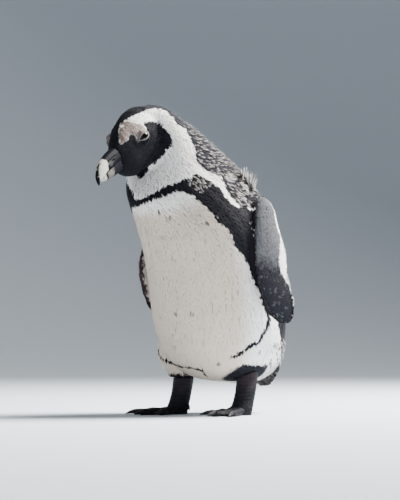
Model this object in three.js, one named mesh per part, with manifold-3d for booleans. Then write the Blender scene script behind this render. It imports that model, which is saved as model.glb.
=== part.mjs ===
// An African penguin, life size, as a still museum model: the right foot half a step ahead, the back
// hunched, the neck reaching forward and to the bird's right, and the bill pointing down.
// Millimetres. +Z is up, -Y is forward and +X is the bird's left.
// The outline is that of the plumage, out to the feather tips. Each part is a faceted closed solid.

import * as THREE from "three";
import { mergeVertices } from "three/addons/utils/BufferGeometryUtils.js";
import Module from "manifold-3d";

const wasm = await Module();
wasm.setup();

// ---------------------------------------------------------------- driving dimensions

const GAP = 0.3; // clear space between neighbouring parts
const HALF_GAP = GAP / 2;

const NECK_SIDE = 45; // how far the head is carried towards the bird's right
const HEAD = { x: -NECK_SIDE, y: -104, z: 312.5 }; // midway between the eyes
const HEAD_TURN = 11; // degrees that the bill points to the bird's left of straight ahead
const HEAD_PITCH = 29; // degrees that it points below level
const HEAD_ROLL = 3; // degrees that the crown leans to the bird's right
const EYE = { radius: 8.2, out: 18.2, forward: -3, up: -3 }; // each eyeball, from HEAD

const FOOT_RIGHT = { x: -46, y: -3, turn: 5 }; // where each shank meets its foot, and its toe-out
const FOOT_LEFT = { x: 35.5, y: 11, turn: 3 };
const CUFF_RIGHT = 42; // height at which the plumage of each leg ends
const CUFF_LEFT = 51;
const TOE_HEIGHT = 9.5; // toes, above the floor
const TOE_START = 5; // the toes meet this far ahead of the shank's middle
const WEB = { thick: 2.6, height: 0.4, facets: 5 }; // its height is its clearance from the floor
const FRONT_CLAW = { length: 16.5, half: 2.7, buried: 4.5, height: 4.4, drop: 2.9 };
const HIND_CLAW = { length: 8.5, half: 1.7, buried: 3, height: 7.6, drop: 3.4 };
const CLAW_CLEARANCE = 0.2; // between the claws and the floor

const NECK_CUT = { y: -42, z: 246, tilt: 52 }; // plane between trunk and neck
const HEAD_CUT = { forward: -17, up: -11, tilt: 46 }; // plane between neck and head, behind the eyes

// How finely each part is faceted: rings along it, and sides round it.
const FACETS = {
  body: { rows: 24, sides: 32 },
  head: { rows: 15, sides: 24 },
  bill: { rows: 12, sides: 14 },
  eye: { rows: 8, sides: 12 },
  flipper: { rows: 14, sides: 14 },
  tail: { rows: 8, sides: 16 },
  thigh: { rows: 6, sides: 16 },
  shank: { rows: 6, sides: 14 },
  toe: { rows: 6, sides: 8 },
  hindToe: { rows: 4, sides: 8 },
  claw: { rows: 3, sides: 7 },
};

// How square each section is: 2 is an ellipse, and more is squarer.
const SQUARENESS = { body: 2.15, head: 2.1, flipper: 1.9, tail: 2.2 };

// ---------------------------------------------------------------- small tools

const vec = (x, y, z) => new THREE.Vector3(x, y, z);
const rad = THREE.MathUtils.degToRad;

// Rows of numbers between the stations of a part, on a smooth cubic through them.
function between(stations, rows) {
  const width = stations[0].length;
  const times = stations.map((_, i) => i);
  const cubic = new THREE.CubicInterpolant(times, stations.flat(), width);
  const last = stations.length - 1;
  return Array.from({ length: rows + 1 }, (_, i) => Array.from(cubic.evaluate((i / rows) * last)));
}

// A closed solid through rings of points, all with the same count, with a pole at each end.
function skinned(rings) {
  const sides = rings[0].length;
  const middle = (ring) => ring.reduce((sum, p) => sum.add(p), vec(0, 0, 0)).divideScalar(sides);
  const points = [middle(rings[0]), ...rings.flat(), middle(rings.at(-1))];
  const end = points.length - 1;
  const at = (row, k) => 1 + row * sides + (k % sides);
  const faces = [];
  for (let k = 0; k < sides; k++) {
    faces.push(0, at(0, k + 1), at(0, k));
    faces.push(end, at(rings.length - 1, k), at(rings.length - 1, k + 1));
    for (let row = 0; row < rings.length - 1; row++) {
      faces.push(at(row, k), at(row, k + 1), at(row + 1, k));
      faces.push(at(row, k + 1), at(row + 1, k + 1), at(row + 1, k));
    }
  }
  return manifold(new THREE.BufferGeometry().setFromPoints(points).setIndex(faces));
}

// A three.js geometry as a manifold-3d solid, turned outside out if its faces point inwards.
function manifold(geometry) {
  const bare = geometry.clone().deleteAttribute("normal").deleteAttribute("uv");
  const merged = mergeVertices(bare, 1e-4);
  const vertProperties = new Float32Array(merged.attributes.position.array);
  const triVerts = new Uint32Array(merged.index.array);
  const solid = (tris) => new wasm.Manifold(new wasm.Mesh({ numProp: 3, vertProperties, triVerts: tris }));
  const made = solid(triVerts);
  return made.volume() > 0 ? made : solid(triVerts.toReversed());
}

// A rounded ring: half sizes a and b along two directions round a centre.
function ring(centre, a, b, { sides }, power = 2) {
  const squared = (x) => Math.sign(x) * Math.abs(x) ** (2 / power);
  return Array.from({ length: sides }, (_, k) => {
    const turn = (2 * Math.PI * k) / sides;
    return centre.clone()
      .addScaledVector(a, squared(Math.cos(turn)))
      .addScaledVector(b, squared(Math.sin(turn)));
  });
}

const lengthened = (v, grow) => v.clone().setLength(Math.max(v.length() + grow, 0.01));
const union = (solids) => solids.reduce((all, s) => all.add(s));

// What lies on the side of a plane that its normal points to.
function kept(solid, normal, point, gap = HALF_GAP) {
  const n = normal.clone().normalize();
  return solid.trimByPlane(n.toArray(), n.dot(point) + gap);
}

// The largest single body of a solid, without the slivers that a cut may leave.
const largest = (solid) => solid.decompose().sort((p, q) => q.volume() - p.volume())[0];

const FLOOR = vec(0, 0, 0);

// ---------------------------------------------------------------- trunk and neck

// Each station is a ring seen from the side: its front edge (y, z), its back edge (y, z), its half
// width, and how far it is carried to the bird's right.
const BODY_STATIONS = [
  [26, 37, 42, 35, 4, 0],
  [-6, 40, 72, 38, 29, 0],
  [-34, 49, 93, 55, 50, 0],
  [-53, 70, 92, 83, 66, 0],
  [-64, 101, 86, 117, 74.5, 0],
  [-70, 134, 80, 152, 76, 0],
  [-74, 166, 72, 192, 77, 1],
  [-78, 190, 61, 231, 77, 4],
  [-82, 209, 44, 265, 72, 11],
  [-87, 226, 20, 294, 63, 20],
  [-90, 243, -9, 321, 51, 29],
  [-81, 260, -36, 342, 40, 36],
  [-72, 279, -59, 354, 32, 41],
  [-76, 299, -82, 351, 20, NECK_SIDE],
];

function body(grow = 0) {
  const rows = between(BODY_STATIONS, FACETS.body.rows);
  return skinned(rows.map(([fy, fz, by, bz, half, side]) => {
    const front = vec(-side, fy, fz);
    const back = vec(-side, by, bz);
    const centre = front.clone().add(back).divideScalar(2);
    const reach = lengthened(front.sub(centre), grow);
    return ring(centre, reach, vec(half + grow, 0, 0), FACETS.body, SQUARENESS.body);
  }));
}

// ---------------------------------------------------------------- head

const turnHead = (v) => v
  .applyAxisAngle(vec(0, 1, 0), rad(-HEAD_ROLL))
  .applyAxisAngle(vec(1, 0, 0), rad(HEAD_PITCH))
  .applyAxisAngle(vec(0, 0, 1), rad(HEAD_TURN));
const FORWARD = turnHead(vec(0, -1, 0));
const LEFTWARD = turnHead(vec(1, 0, 0));
const UPWARD = turnHead(vec(0, 0, 1));

// A point given in the head's own directions, from midway between the eyes.
function inHead(forward, left, up) {
  return vec(HEAD.x, HEAD.y, HEAD.z)
    .addScaledVector(FORWARD, forward)
    .addScaledVector(LEFTWARD, left)
    .addScaledVector(UPWARD, up);
}

// Each station: how far forward, its top, its underside and its half width.
const HEAD_STATIONS = [
  [-54, 10, -12, 7],
  [-47, 20.5, -29, 22],
  [-33, 23, -40, 29.5],
  [-16, 20.5, -44, 29],
  [-2, 17.5, -44, 25],
  [10, 14.5, -44.5, 21],
  [20, 10, -42, 18],
  [28, 5, -36.5, 14],
  [34, 2, -31, 10],
  [37, -4, -20, 4],
];

function skull(grow = 0) {
  const rows = between(HEAD_STATIONS, FACETS.head.rows);
  return skinned(rows.map(([forward, top, under, half]) => ring(
    inHead(forward, 0, (top + under) / 2),
    UPWARD.clone().multiplyScalar((top - under) / 2 + grow),
    LEFTWARD.clone().multiplyScalar(half + grow),
    FACETS.head,
    SQUARENESS.head,
  )));
}

// ---------------------------------------------------------------- bill

// Each station: the ridge (forward, up), the mouth line (forward, up) and the half width.
const UPPER_BILL = [
  [16, 1, 16, -13, 9],
  [30, 1.5, 30, -13.4, 9],
  [44, 1.6, 43, -13.8, 8.2],
  [56, 0.6, 54, -14, 7.4],
  [67, -1.6, 64, -14.6, 6.4],
  [75, -5.6, 71, -15.6, 5.2],
  [80.6, -11, 76, -17, 3.9],
  [83, -17.5, 79.5, -19.5, 2.5],
  [82.6, -23, 81.5, -22.6, 0.7],
];
// Each station: the underside (forward, up), the mouth line (forward, up) and the half width.
const LOWER_BILL = [
  [16, -25.5, 16, -13, 8.2],
  [30, -26.5, 30, -13.4, 8.2],
  [43, -26.5, 44, -13.8, 7.4],
  [54, -25.6, 56, -14.2, 6.6],
  [63, -24.4, 66, -15, 5.6],
  [70, -23, 73, -16.4, 4.2],
  [75.5, -20.8, 77, -18.6, 1.6],
];

// A bill half is round, or squarer with a lower power, over a flat mouth side.
function billRing([farForward, far, mouthForward, mouth, half], power) {
  const { sides } = FACETS.bill;
  const edge = inHead(mouthForward, 0, mouth + Math.sign(far - mouth) * HALF_GAP);
  const rise = inHead(farForward, 0, far).sub(edge);
  return Array.from({ length: sides }, (_, k) => {
    const turn = (2 * Math.PI * k) / sides;
    const height = Math.max(Math.cos(turn), 0) ** power;
    return edge.clone().addScaledVector(rise, height).addScaledVector(LEFTWARD, half * Math.sin(turn));
  });
}

function bill(stations, power) {
  return skinned(between(stations, FACETS.bill.rows).map((station) => billRing(station, power)));
}

// ---------------------------------------------------------------- eyes

function eye(side, grow = 0) {
  const ball = new THREE.SphereGeometry(EYE.radius + grow, FACETS.eye.sides, FACETS.eye.rows);
  const centre = inHead(EYE.forward, side * EYE.out, EYE.up);
  return manifold(ball.translate(centre.x, centre.y, centre.z));
}

// ---------------------------------------------------------------- flippers

// Each station: the middle of the section (x, y, z), its half chord, its half thickness, and how
// many degrees the trailing edge is turned outwards.
const FLIPPER_LEFT = [
  [60, 6, 244, 8, 8, 6],
  [70.5, 1.5, 235, 14, 9.5, 7],
  [76, -3, 220, 18, 8.5, 9],
  [80.5, -5, 200, 21.5, 7.6, 11],
  [83.5, -4.5, 180, 24.5, 6.6, 14],
  [85.5, -5.5, 158, 24.5, 5.4, 14],
  [88, 0, 138, 23.5, 4.6, 16],
  [90, 8, 122, 21, 3.8, 17],
  [91.5, 17, 111.5, 14.5, 3, 18],
  [93, 24, 106.5, 5, 1.8, 18],
];
const FLIPPER_RIGHT = [
  [-57, -2, 236, 8, 8, 0],
  [-67, -5, 227, 14, 9.5, 0],
  [-75, -10, 212, 18, 8.5, 2],
  [-80.5, -13, 194, 20.5, 7.6, 3],
  [-85, -14, 174, 23, 6.6, 3],
  [-87, -6, 155, 23.5, 5.4, 1],
  [-88, 5, 138, 22.5, 4.6, -2],
  [-88, 19, 124, 18.5, 3.8, -4],
  [-87, 32, 114, 11, 3, -6],
  [-86, 41, 109, 3.5, 1.8, -6],
];

function flipper(stations, side) {
  const rows = between(stations, FACETS.flipper.rows);
  const middles = rows.map(([x, y, z]) => vec(x, y, z));
  return skinned(rows.map(([, , , chord, thick, turned], i) => {
    const before = middles[Math.max(i - 1, 0)];
    const after = middles[Math.min(i + 1, rows.length - 1)];
    const along = after.clone().sub(before).normalize();
    const turn = rad(turned);
    const trailing = vec(side * Math.sin(turn), Math.cos(turn), 0);
    trailing.addScaledVector(along, -trailing.dot(along)).normalize();
    const outward = along.clone().cross(trailing).normalize();
    trailing.multiplyScalar(chord);
    outward.multiplyScalar(thick);
    return ring(middles[i], trailing, outward, FACETS.flipper, SQUARENESS.flipper);
  }));
}

// ---------------------------------------------------------------- tail

// Each station: the middle (y, z), the half width and the half thickness.
const TAIL_STATIONS = [
  [58, 80, 30, 15],
  [80, 70, 33, 12],
  [90, 58, 31, 8.5],
  [95, 46, 22, 5.5],
  [98, 36, 15, 3.4],
  [99, 29, 7, 1.8],
];

function tail() {
  const rows = between(TAIL_STATIONS, FACETS.tail.rows);
  const middles = rows.map(([y, z]) => vec(0, y, z));
  return skinned(rows.map(([, , half, thick], i) => {
    const before = middles[Math.max(i - 1, 0)];
    const after = middles[Math.min(i + 1, rows.length - 1)];
    const along = after.clone().sub(before).normalize();
    const upright = along.cross(vec(1, 0, 0)).setLength(thick);
    return ring(middles[i], vec(half, 0, 0), upright, FACETS.tail, SQUARENESS.tail);
  }));
}

// ---------------------------------------------------------------- legs

// Each station of the feathered thigh, from inside the trunk to its cuff: its height, its offset from
// the shank (outwards, backwards), and its half width and half depth.
const thighStations = (cuff) => [
  [cuff + 66, 3, 8, 15, 20],
  [cuff + 52, 4, 6, 22.5, 28],
  [cuff + 32, 3.5, 3, 26.5, 32],
  [cuff + 18, 1, 1, 23, 27],
  [cuff + 6, 0, 0, 17.5, 19],
  [cuff, 0, 0, 14, 15],
];

function thigh(foot, cuff, side, grow = 0) {
  const rows = between(thighStations(cuff), FACETS.thigh.rows);
  return skinned(rows.map(([z, out, back, half, deep], i) => {
    const longer = i === 0 ? grow : i === rows.length - 1 ? -grow : 0;
    const centre = vec(foot.x + side * out, foot.y + back, z + longer);
    return ring(centre, vec(half + grow, 0, 0), vec(0, deep + grow, 0), FACETS.thigh);
  }));
}

// Shank: its height, its offset backwards, and its half width and half depth.
const SHANK_STATIONS = [
  [64, 8, 11, 11],
  [48, 6, 12, 12],
  [32, 3, 11.8, 12.2],
  [18, -1, 11.8, 12],
  [8, -6, 13, 12.5],
  [-2, -9, 13, 12.5],
];

function shank(foot, grow = 0) {
  const rows = between(SHANK_STATIONS, FACETS.shank.rows);
  return skinned(rows.map(([z, back, half, deep]) => ring(
    vec(foot.x, foot.y + back, z),
    vec(half + grow, 0, 0),
    vec(0, deep + grow, 0),
    FACETS.shank,
  )));
}

// The three front toes: name, degrees outwards from straight ahead, length without the claw, and
// half width.
const TOES = [
  { name: "inner", splay: -19, length: 48, half: 5 },
  { name: "middle", splay: 1, length: 60, half: 5.6 },
  { name: "outer", splay: 21, length: 55, half: 5.2 },
];

// A direction on the floor, so many degrees outwards from where the foot points.
function heading(foot, side, splay) {
  const turn = rad(foot.turn + splay);
  return vec(side * Math.sin(turn), -Math.cos(turn), 0);
}

// Where the toes meet.
const toesMeet = (foot) => vec(foot.x, foot.y - TOE_START, 0);

// A toe bulges a little at each joint. Each station: the share of its length, its width and its height.
const TOE_STATIONS = [
  [0, 1, 0.95],
  [0.25, 1.05, 0.95],
  [0.42, 0.9, 0.82],
  [0.6, 1.04, 0.88],
  [0.78, 0.86, 0.72],
  [0.92, 0.94, 0.76],
  [1, 0.3, 0.3],
];
const SOLE_SUNK = 1.2; // how far each toe reaches below the floor before it is cut flat

function toe(foot, side, { splay, length, half }, grow = 0) {
  const ahead = heading(foot, side, splay);
  const across = vec(-ahead.y, ahead.x, 0);
  const rows = between(TOE_STATIONS, FACETS.toe.rows);
  return skinned(rows.map(([share, wide, tall]) => {
    const top = TOE_HEIGHT * tall;
    const centre = toesMeet(foot).setZ((top - SOLE_SUNK) / 2).addScaledVector(ahead, share * length);
    const reach = across.clone().multiplyScalar(half * wide + grow);
    return ring(centre, reach, vec(0, 0, (top + SOLE_SUNK) / 2 + grow), FACETS.toe);
  }));
}

// The web: a fan between neighbouring toes, cut back between them in a shallow curve.
const WEB_SHARE = { atToe: 0.93, between: 0.76 }; // of the toes' length

function web(foot, side, toeA, toeB) {
  const meet = toesMeet(foot);
  const along = (splay, length) => {
    const p = heading(foot, side, splay).setLength(length).add(meet);
    return [p.x, p.y];
  };
  const a = along(toeA.splay, toeA.length * WEB_SHARE.atToe);
  const b = along(toeB.splay, toeB.length * WEB_SHARE.atToe);
  const meanLength = (toeA.length + toeB.length) / 2;
  const dip = along((toeA.splay + toeB.splay) / 2, meanLength * WEB_SHARE.between);
  const shape = new THREE.Shape();
  shape.moveTo(meet.x, meet.y + WEB.thick);
  shape.lineTo(...a);
  shape.quadraticCurveTo(...dip, ...b);
  shape.closePath();
  const plate = new THREE.ExtrudeGeometry(shape, {
    depth: WEB.thick,
    bevelEnabled: false,
    curveSegments: WEB.facets,
  });
  return manifold(plate.translate(0, 0, WEB.height));
}

// The small hind toe, low on the inner side of the shank.
const HIND_TOE = { splay: -58, length: 15, half: 3.2, inward: 5, back: 2, height: 11, drop: 4 };
const HIND_TOE_STATIONS = [[0, 1], [0.5, 1], [0.85, 0.8], [1, 0.25]];

const hindRoot = (foot, side) => vec(foot.x - side * HIND_TOE.inward, foot.y + HIND_TOE.back, 0);

function hindToe(foot, side, grow = 0) {
  const ahead = heading(foot, side, HIND_TOE.splay);
  const across = vec(-ahead.y, ahead.x, 0);
  const rows = between(HIND_TOE_STATIONS, FACETS.hindToe.rows);
  return skinned(rows.map(([share, size]) => {
    const height = HIND_TOE.height - HIND_TOE.drop * share;
    const centre = hindRoot(foot, side).setZ(height).addScaledVector(ahead, share * HIND_TOE.length);
    const reach = HIND_TOE.half * size + grow;
    return ring(centre, across.clone().multiplyScalar(reach), vec(0, 0, reach), FACETS.hindToe);
  }));
}

function footSolids(foot, side, grow = 0) {
  return [
    shank(foot, grow),
    ...TOES.map((t) => toe(foot, side, t, grow)),
    hindToe(foot, side, grow),
  ];
}

// Each station of a claw: the share of its length and of its width.
const CLAW_STATIONS = [[0, 1], [0.35, 0.95], [0.7, 0.62], [1, 0.12]];

// A claw, from inside the end of a toe that reaches so far from its root, curving down to the floor.
function claw(root, ahead, reach, size) {
  const across = vec(-ahead.y, ahead.x, 0);
  const start = root.clone().setZ(size.height).addScaledVector(ahead, reach - size.buried);
  return skinned(between(CLAW_STATIONS, FACETS.claw.rows).map(([share, width]) => {
    const centre = start.clone().addScaledVector(ahead, share * size.length);
    centre.z -= size.drop * share ** 2;
    const half = size.half * width;
    return ring(centre, across.clone().multiplyScalar(half), vec(0, 0, half), FACETS.claw);
  }));
}

// The claws of one foot, cut clear of its toes and of the floor: pairs of a name and a solid.
function claws(foot, side, name) {
  const cutter = union(footSolids(foot, side, GAP));
  const meet = toesMeet(foot);
  const uncut = TOES.map(({ name: toeName, splay, length }) => {
    return [toeName, claw(meet, heading(foot, side, splay), length, FRONT_CLAW)];
  });
  const hindAhead = heading(foot, side, HIND_TOE.splay);
  uncut.push(["hind", claw(hindRoot(foot, side), hindAhead, HIND_TOE.length, HIND_CLAW)]);
  return uncut.map(([toeName, solid]) => {
    const clear = kept(solid.subtract(cutter), vec(0, 0, 1), FLOOR, CLAW_CLEARANCE);
    return [`claw_${toeName}_${name}`, largest(clear)];
  });
}

// ---------------------------------------------------------------- the parted model

const bodyCutter = body(GAP);
const skullCutter = skull(GAP);

// The flesh of trunk, neck and head is one shape, parted by thin plane cuts.
const whole = body().add(skull());
const neckTilt = rad(NECK_CUT.tilt);
const neckNormal = vec(0, -Math.sin(neckTilt), Math.cos(neckTilt));
const neckPoint = vec(0, NECK_CUT.y, NECK_CUT.z);
const headTilt = rad(HEAD_CUT.tilt);
const headNormal = vec(0, 0, 0)
  .addScaledVector(FORWARD, Math.cos(headTilt))
  .addScaledVector(UPWARD, Math.sin(headTilt));
const headPoint = inHead(HEAD_CUT.forward, 0, HEAD_CUT.up);

const aboveShoulders = kept(whole, neckNormal, neckPoint);
const neckSolid = largest(kept(aboveShoulders, headNormal.clone().negate(), headPoint));
const eyeHoles = union([eye(1, GAP), eye(-1, GAP)]);
const headSolid = largest(kept(aboveShoulders, headNormal, headPoint).subtract(eyeHoles));

const legs = [
  ["right", FOOT_RIGHT, -1, CUFF_RIGHT],
  ["left", FOOT_LEFT, 1, CUFF_LEFT],
];
const thighHoles = union(legs.map(([, foot, side, cuff]) => thigh(foot, cuff, side, GAP)));
const shoulders = kept(whole, neckNormal.clone().negate(), neckPoint);
const trunkSolid = largest(shoulders.subtract(thighHoles));

const PLUMAGE_WHITE = new THREE.MeshStandardMaterial({ color: 0xb9b1a5, roughness: 0.85 });
const PLUMAGE_BLACK = new THREE.MeshStandardMaterial({ color: 0x22222c, roughness: 0.75 });
const HORN = new THREE.MeshStandardMaterial({ color: 0x2b2c30, roughness: 0.45 });
const FOOT_SKIN = new THREE.MeshStandardMaterial({ color: 0x26262c, roughness: 0.6 });
const EYE_WET = new THREE.MeshStandardMaterial({ color: 0x1a100a, roughness: 0.08 });

const parts = [
  ["trunk", trunkSolid, PLUMAGE_WHITE],
  ["neck", neckSolid, PLUMAGE_WHITE],
  ["head", headSolid, PLUMAGE_BLACK],
  ["bill_upper", bill(UPPER_BILL, 0.8).subtract(skullCutter), HORN],
  ["bill_lower", bill(LOWER_BILL, 0.5).subtract(skullCutter), HORN],
  ["eye_left", eye(1), EYE_WET],
  ["eye_right", eye(-1), EYE_WET],
  ["flipper_left", largest(flipper(FLIPPER_LEFT, 1).subtract(bodyCutter)), PLUMAGE_BLACK],
  ["flipper_right", largest(flipper(FLIPPER_RIGHT, -1).subtract(bodyCutter)), PLUMAGE_BLACK],
  ["tail", largest(tail().subtract(bodyCutter)), PLUMAGE_BLACK],
];

for (const [name, foot, side, cuff] of legs) {
  const webs = [web(foot, side, TOES[0], TOES[1]), web(foot, side, TOES[1], TOES[2])];
  const footSolid = union([...footSolids(foot, side), ...webs])
    .subtract(thighHoles)
    .subtract(bodyCutter);
  parts.push([`thigh_${name}`, thigh(foot, cuff, side), PLUMAGE_WHITE]);
  parts.push([`foot_${name}`, largest(kept(footSolid, vec(0, 0, 1), FLOOR, 0)), FOOT_SKIN]);
  for (const [clawName, solid] of claws(foot, side, name)) parts.push([clawName, solid, HORN]);
}

// ---------------------------------------------------------------- the group

function mesh(name, solid, material) {
  const { vertProperties, triVerts, numProp } = solid.getMesh();
  const geometry = new THREE.BufferGeometry();
  const places = new Float32Array((vertProperties.length / numProp) * 3);
  for (let i = 0; i * numProp < vertProperties.length; i++) {
    places.set(vertProperties.subarray(i * numProp, i * numProp + 3), i * 3);
  }
  geometry.setAttribute("position", new THREE.BufferAttribute(places, 3));
  geometry.setIndex(new THREE.BufferAttribute(triVerts, 1));
  const made = new THREE.Mesh(geometry, material);
  made.name = name;
  return made;
}

const penguin = new THREE.Group();
for (const [name, solid, material] of parts) penguin.add(mesh(name, solid, material));

// The origin is under the middle of the whole bird, on the floor.
const box = new THREE.Box3().setFromObject(penguin);
const middle = box.getCenter(vec(0, 0, 0));
penguin.position.set(-middle.x, -middle.y, -box.min.z);

export default penguin;
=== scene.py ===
# %% [markdown]
# # An African penguin, feather by feather
# This lesson dresses a imported CAD penguin for a close look. The CAD model arrives first and never
# moves, and every piece made here is fitted to it.

# %% Load the imported model
import itertools
import math

import bmesh
import bpy
import numpy as np
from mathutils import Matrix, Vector
from mathutils.bvhtree import BVHTree


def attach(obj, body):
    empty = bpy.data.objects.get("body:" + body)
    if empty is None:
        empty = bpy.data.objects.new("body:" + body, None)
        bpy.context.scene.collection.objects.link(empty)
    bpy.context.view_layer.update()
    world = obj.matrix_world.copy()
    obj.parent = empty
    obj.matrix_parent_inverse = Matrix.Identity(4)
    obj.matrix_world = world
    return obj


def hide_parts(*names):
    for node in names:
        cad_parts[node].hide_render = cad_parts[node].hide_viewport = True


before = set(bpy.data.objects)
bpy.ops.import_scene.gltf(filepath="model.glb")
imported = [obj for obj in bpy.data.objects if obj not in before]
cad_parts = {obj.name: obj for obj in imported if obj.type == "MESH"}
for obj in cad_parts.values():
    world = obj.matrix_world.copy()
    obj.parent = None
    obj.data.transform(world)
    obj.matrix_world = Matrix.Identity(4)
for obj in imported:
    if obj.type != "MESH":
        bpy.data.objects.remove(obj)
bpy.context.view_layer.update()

# %% [markdown]
# ## The camera
# A long lens two metres away looks slightly upwards at the bird from its left front.
# The camera comes first, because every later choice is judged through it.

# %% Place the camera
AZIMUTH, ELEVATION, DISTANCE = math.radians(38), math.radians(-3.2), 2.0
TARGET = Vector((-0.01470, 0.02346, 0.1886))
toward_camera = Vector((
    math.sin(AZIMUTH) * math.cos(ELEVATION),
    -math.cos(AZIMUTH) * math.cos(ELEVATION),
    math.sin(ELEVATION),
))
camera = bpy.data.objects.new("camera", bpy.data.cameras.new("camera"))
camera.data.lens = 125.2
camera.data.sensor_width = 36
camera.data.clip_start = 0.05
camera.location = TARGET + toward_camera * DISTANCE
camera.rotation_euler = (-toward_camera).to_track_quat("-Z", "Y").to_euler()
bpy.context.scene.collection.objects.link(camera)
bpy.context.scene.camera = camera
print("camera at", [round(v, 3) for v in camera.location])

# %% [markdown]
# ## Light and stage
# A large warm lamp stands high behind the bird and to the right, so the neck and back catch the
# light and the belly stays in soft shade. A weak lamp near the camera fills the shade.

# %% Light the bird
camera_right = Vector((math.cos(AZIMUTH), math.sin(AZIMUTH), 0))
away = Vector((-toward_camera.x, -toward_camera.y, 0)).normalized()


def area_lamp(name, place, size, power, colour):
    """Adds a square lamp at a place, turned to face the bird."""
    lamp = bpy.data.objects.new(name, bpy.data.lights.new(name, "AREA"))
    lamp.data.size = size
    lamp.data.energy = power
    lamp.data.color = colour
    lamp.location = place
    lamp.rotation_euler = (TARGET - place).to_track_quat("-Z", "Y").to_euler()
    bpy.context.scene.collection.objects.link(lamp)


key_place = TARGET + camera_right * 0.95 + away * 0.35 + Vector((0, 0, 1.2))
fill_place = TARGET - camera_right * 0.9 - away * 1.3 + Vector((0, 0, 0.5))
area_lamp("key", key_place, size=0.8, power=225, colour=(1, 0.97, 0.93))
area_lamp("fill", fill_place, size=1.4, power=8.5, colour=(1, 0.98, 0.95))
world = bpy.data.worlds.new("studio")
world.use_nodes = True
sky = world.node_tree.nodes["Background"].inputs
sky["Color"].default_value = (0.86, 0.89, 0.94, 1)
sky["Strength"].default_value = 0.32
bpy.context.scene.world = world
print("two lamps and a pale world")

# %% [markdown]
# ## Helpers for meshes
# A feather could be made by hand and scattered by a modifier, but here each one takes its own curve
# and colours. So meshes are built straight from arrays, which is quick even for thousands of vanes.
# Each mesh carries a colour per vertex, named `tint`.

# %% Define the mesh helpers
def linear(*srgb):
    """Turns a colour written as 0 to 255 into the renderer's linear values."""
    c = np.array(srgb, float) / 255
    return np.where(c <= 0.04045, c / 12.92, ((c + 0.055) / 1.055) ** 2.4)


def mesh_from(name, points, faces):
    """Makes a smooth mesh object from points in metres and faces of equal length."""
    mesh = bpy.data.meshes.new(name)
    faces = np.asarray(faces, np.int32)
    sides = faces.shape[1]
    mesh.vertices.add(len(points))
    mesh.vertices.foreach_set("co", np.asarray(points, np.float32).ravel())
    mesh.loops.add(faces.size)
    mesh.loops.foreach_set("vertex_index", faces.ravel())
    mesh.polygons.add(len(faces))
    mesh.polygons.foreach_set("loop_start", np.arange(0, faces.size, sides, dtype=np.int32))
    mesh.polygons.foreach_set("use_smooth", np.full(len(faces), True))
    mesh.update(calc_edges=True)
    return bpy.data.objects.new(name, mesh)


def shown(obj, *materials):
    """Puts an object in the scene with its materials."""
    for material in materials:
        obj.data.materials.append(material)
    bpy.context.scene.collection.objects.link(obj)


def set_tint(obj, colours):
    """Stores one linear colour per vertex under the name tint."""
    layer = obj.data.attributes.new("tint", "FLOAT_COLOR", "POINT")
    full = np.ones((len(colours), 4), np.float32)
    full[:, :3] = np.clip(colours, 0, 1)
    layer.data.foreach_set("color", full.ravel())


def points_of(obj):
    """The vertices of a mesh object as rows of x, y, z."""
    co = np.empty(len(obj.data.vertices) * 3, np.float32)
    obj.data.vertices.foreach_get("co", co)
    return co.reshape(-1, 3).astype(float)


print("mesh helpers ready")

# %% [markdown]
# ## Finishes
# Plumage and skin are dull, horn is a little smoother and the eye is wet. Every finish reads its
# colour from the tint. All but the scaly feet share one fine grain, so the grain is a node group
# that is built once and given its own scale in each material.

# %% Define the finishes
COAT_ROUGHNESS = 0.06
BUMP_STRENGTH = 0.5

grain = bpy.data.node_groups.new("fine_grain", "ShaderNodeTree")
grain.interface.new_socket("Scale", in_out="INPUT", socket_type="NodeSocketFloat")
grain.interface.new_socket("Height", in_out="OUTPUT", socket_type="NodeSocketFloat")
grain_noise = grain.nodes.new("ShaderNodeTexNoise")
grain_place = grain.nodes.new("ShaderNodeTexCoord")
grain.links.new(grain_place.outputs["Object"], grain_noise.inputs["Vector"])
grain.links.new(grain.nodes.new("NodeGroupInput").outputs["Scale"], grain_noise.inputs["Scale"])
grain.links.new(grain_noise.outputs["Fac"], grain.nodes.new("NodeGroupOutput").inputs["Height"])


def tinted_material(name, roughness, shine, bump_scale, bump_height, coat=0.0, scaly=False):
    """A material whose colour is the tint, with a relief of fine grain or of round scales."""
    material = bpy.data.materials.new(name)
    material.use_nodes = True
    nodes, links = material.node_tree.nodes, material.node_tree.links
    shader = nodes["Principled BSDF"]
    shader.inputs["Roughness"].default_value = roughness
    shader.inputs["Specular IOR Level"].default_value = shine
    shader.inputs["Coat Weight"].default_value = coat
    shader.inputs["Coat Roughness"].default_value = COAT_ROUGHNESS
    tint = nodes.new("ShaderNodeAttribute")
    tint.attribute_name = "tint"
    links.new(tint.outputs["Color"], shader.inputs["Base Color"])
    if scaly:
        relief = nodes.new("ShaderNodeTexVoronoi")
        place = nodes.new("ShaderNodeTexCoord")
        links.new(place.outputs["Object"], relief.inputs["Vector"])
    else:
        relief = nodes.new("ShaderNodeGroup")
        relief.node_tree = grain
    relief.inputs["Scale"].default_value = bump_scale
    bump = nodes.new("ShaderNodeBump")
    bump.inputs["Strength"].default_value = BUMP_STRENGTH
    bump.inputs["Distance"].default_value = bump_height
    links.new(relief.outputs["Distance" if scaly else "Height"], bump.inputs["Height"])
    links.new(bump.outputs["Normal"], shader.inputs["Normal"])
    return material


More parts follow.
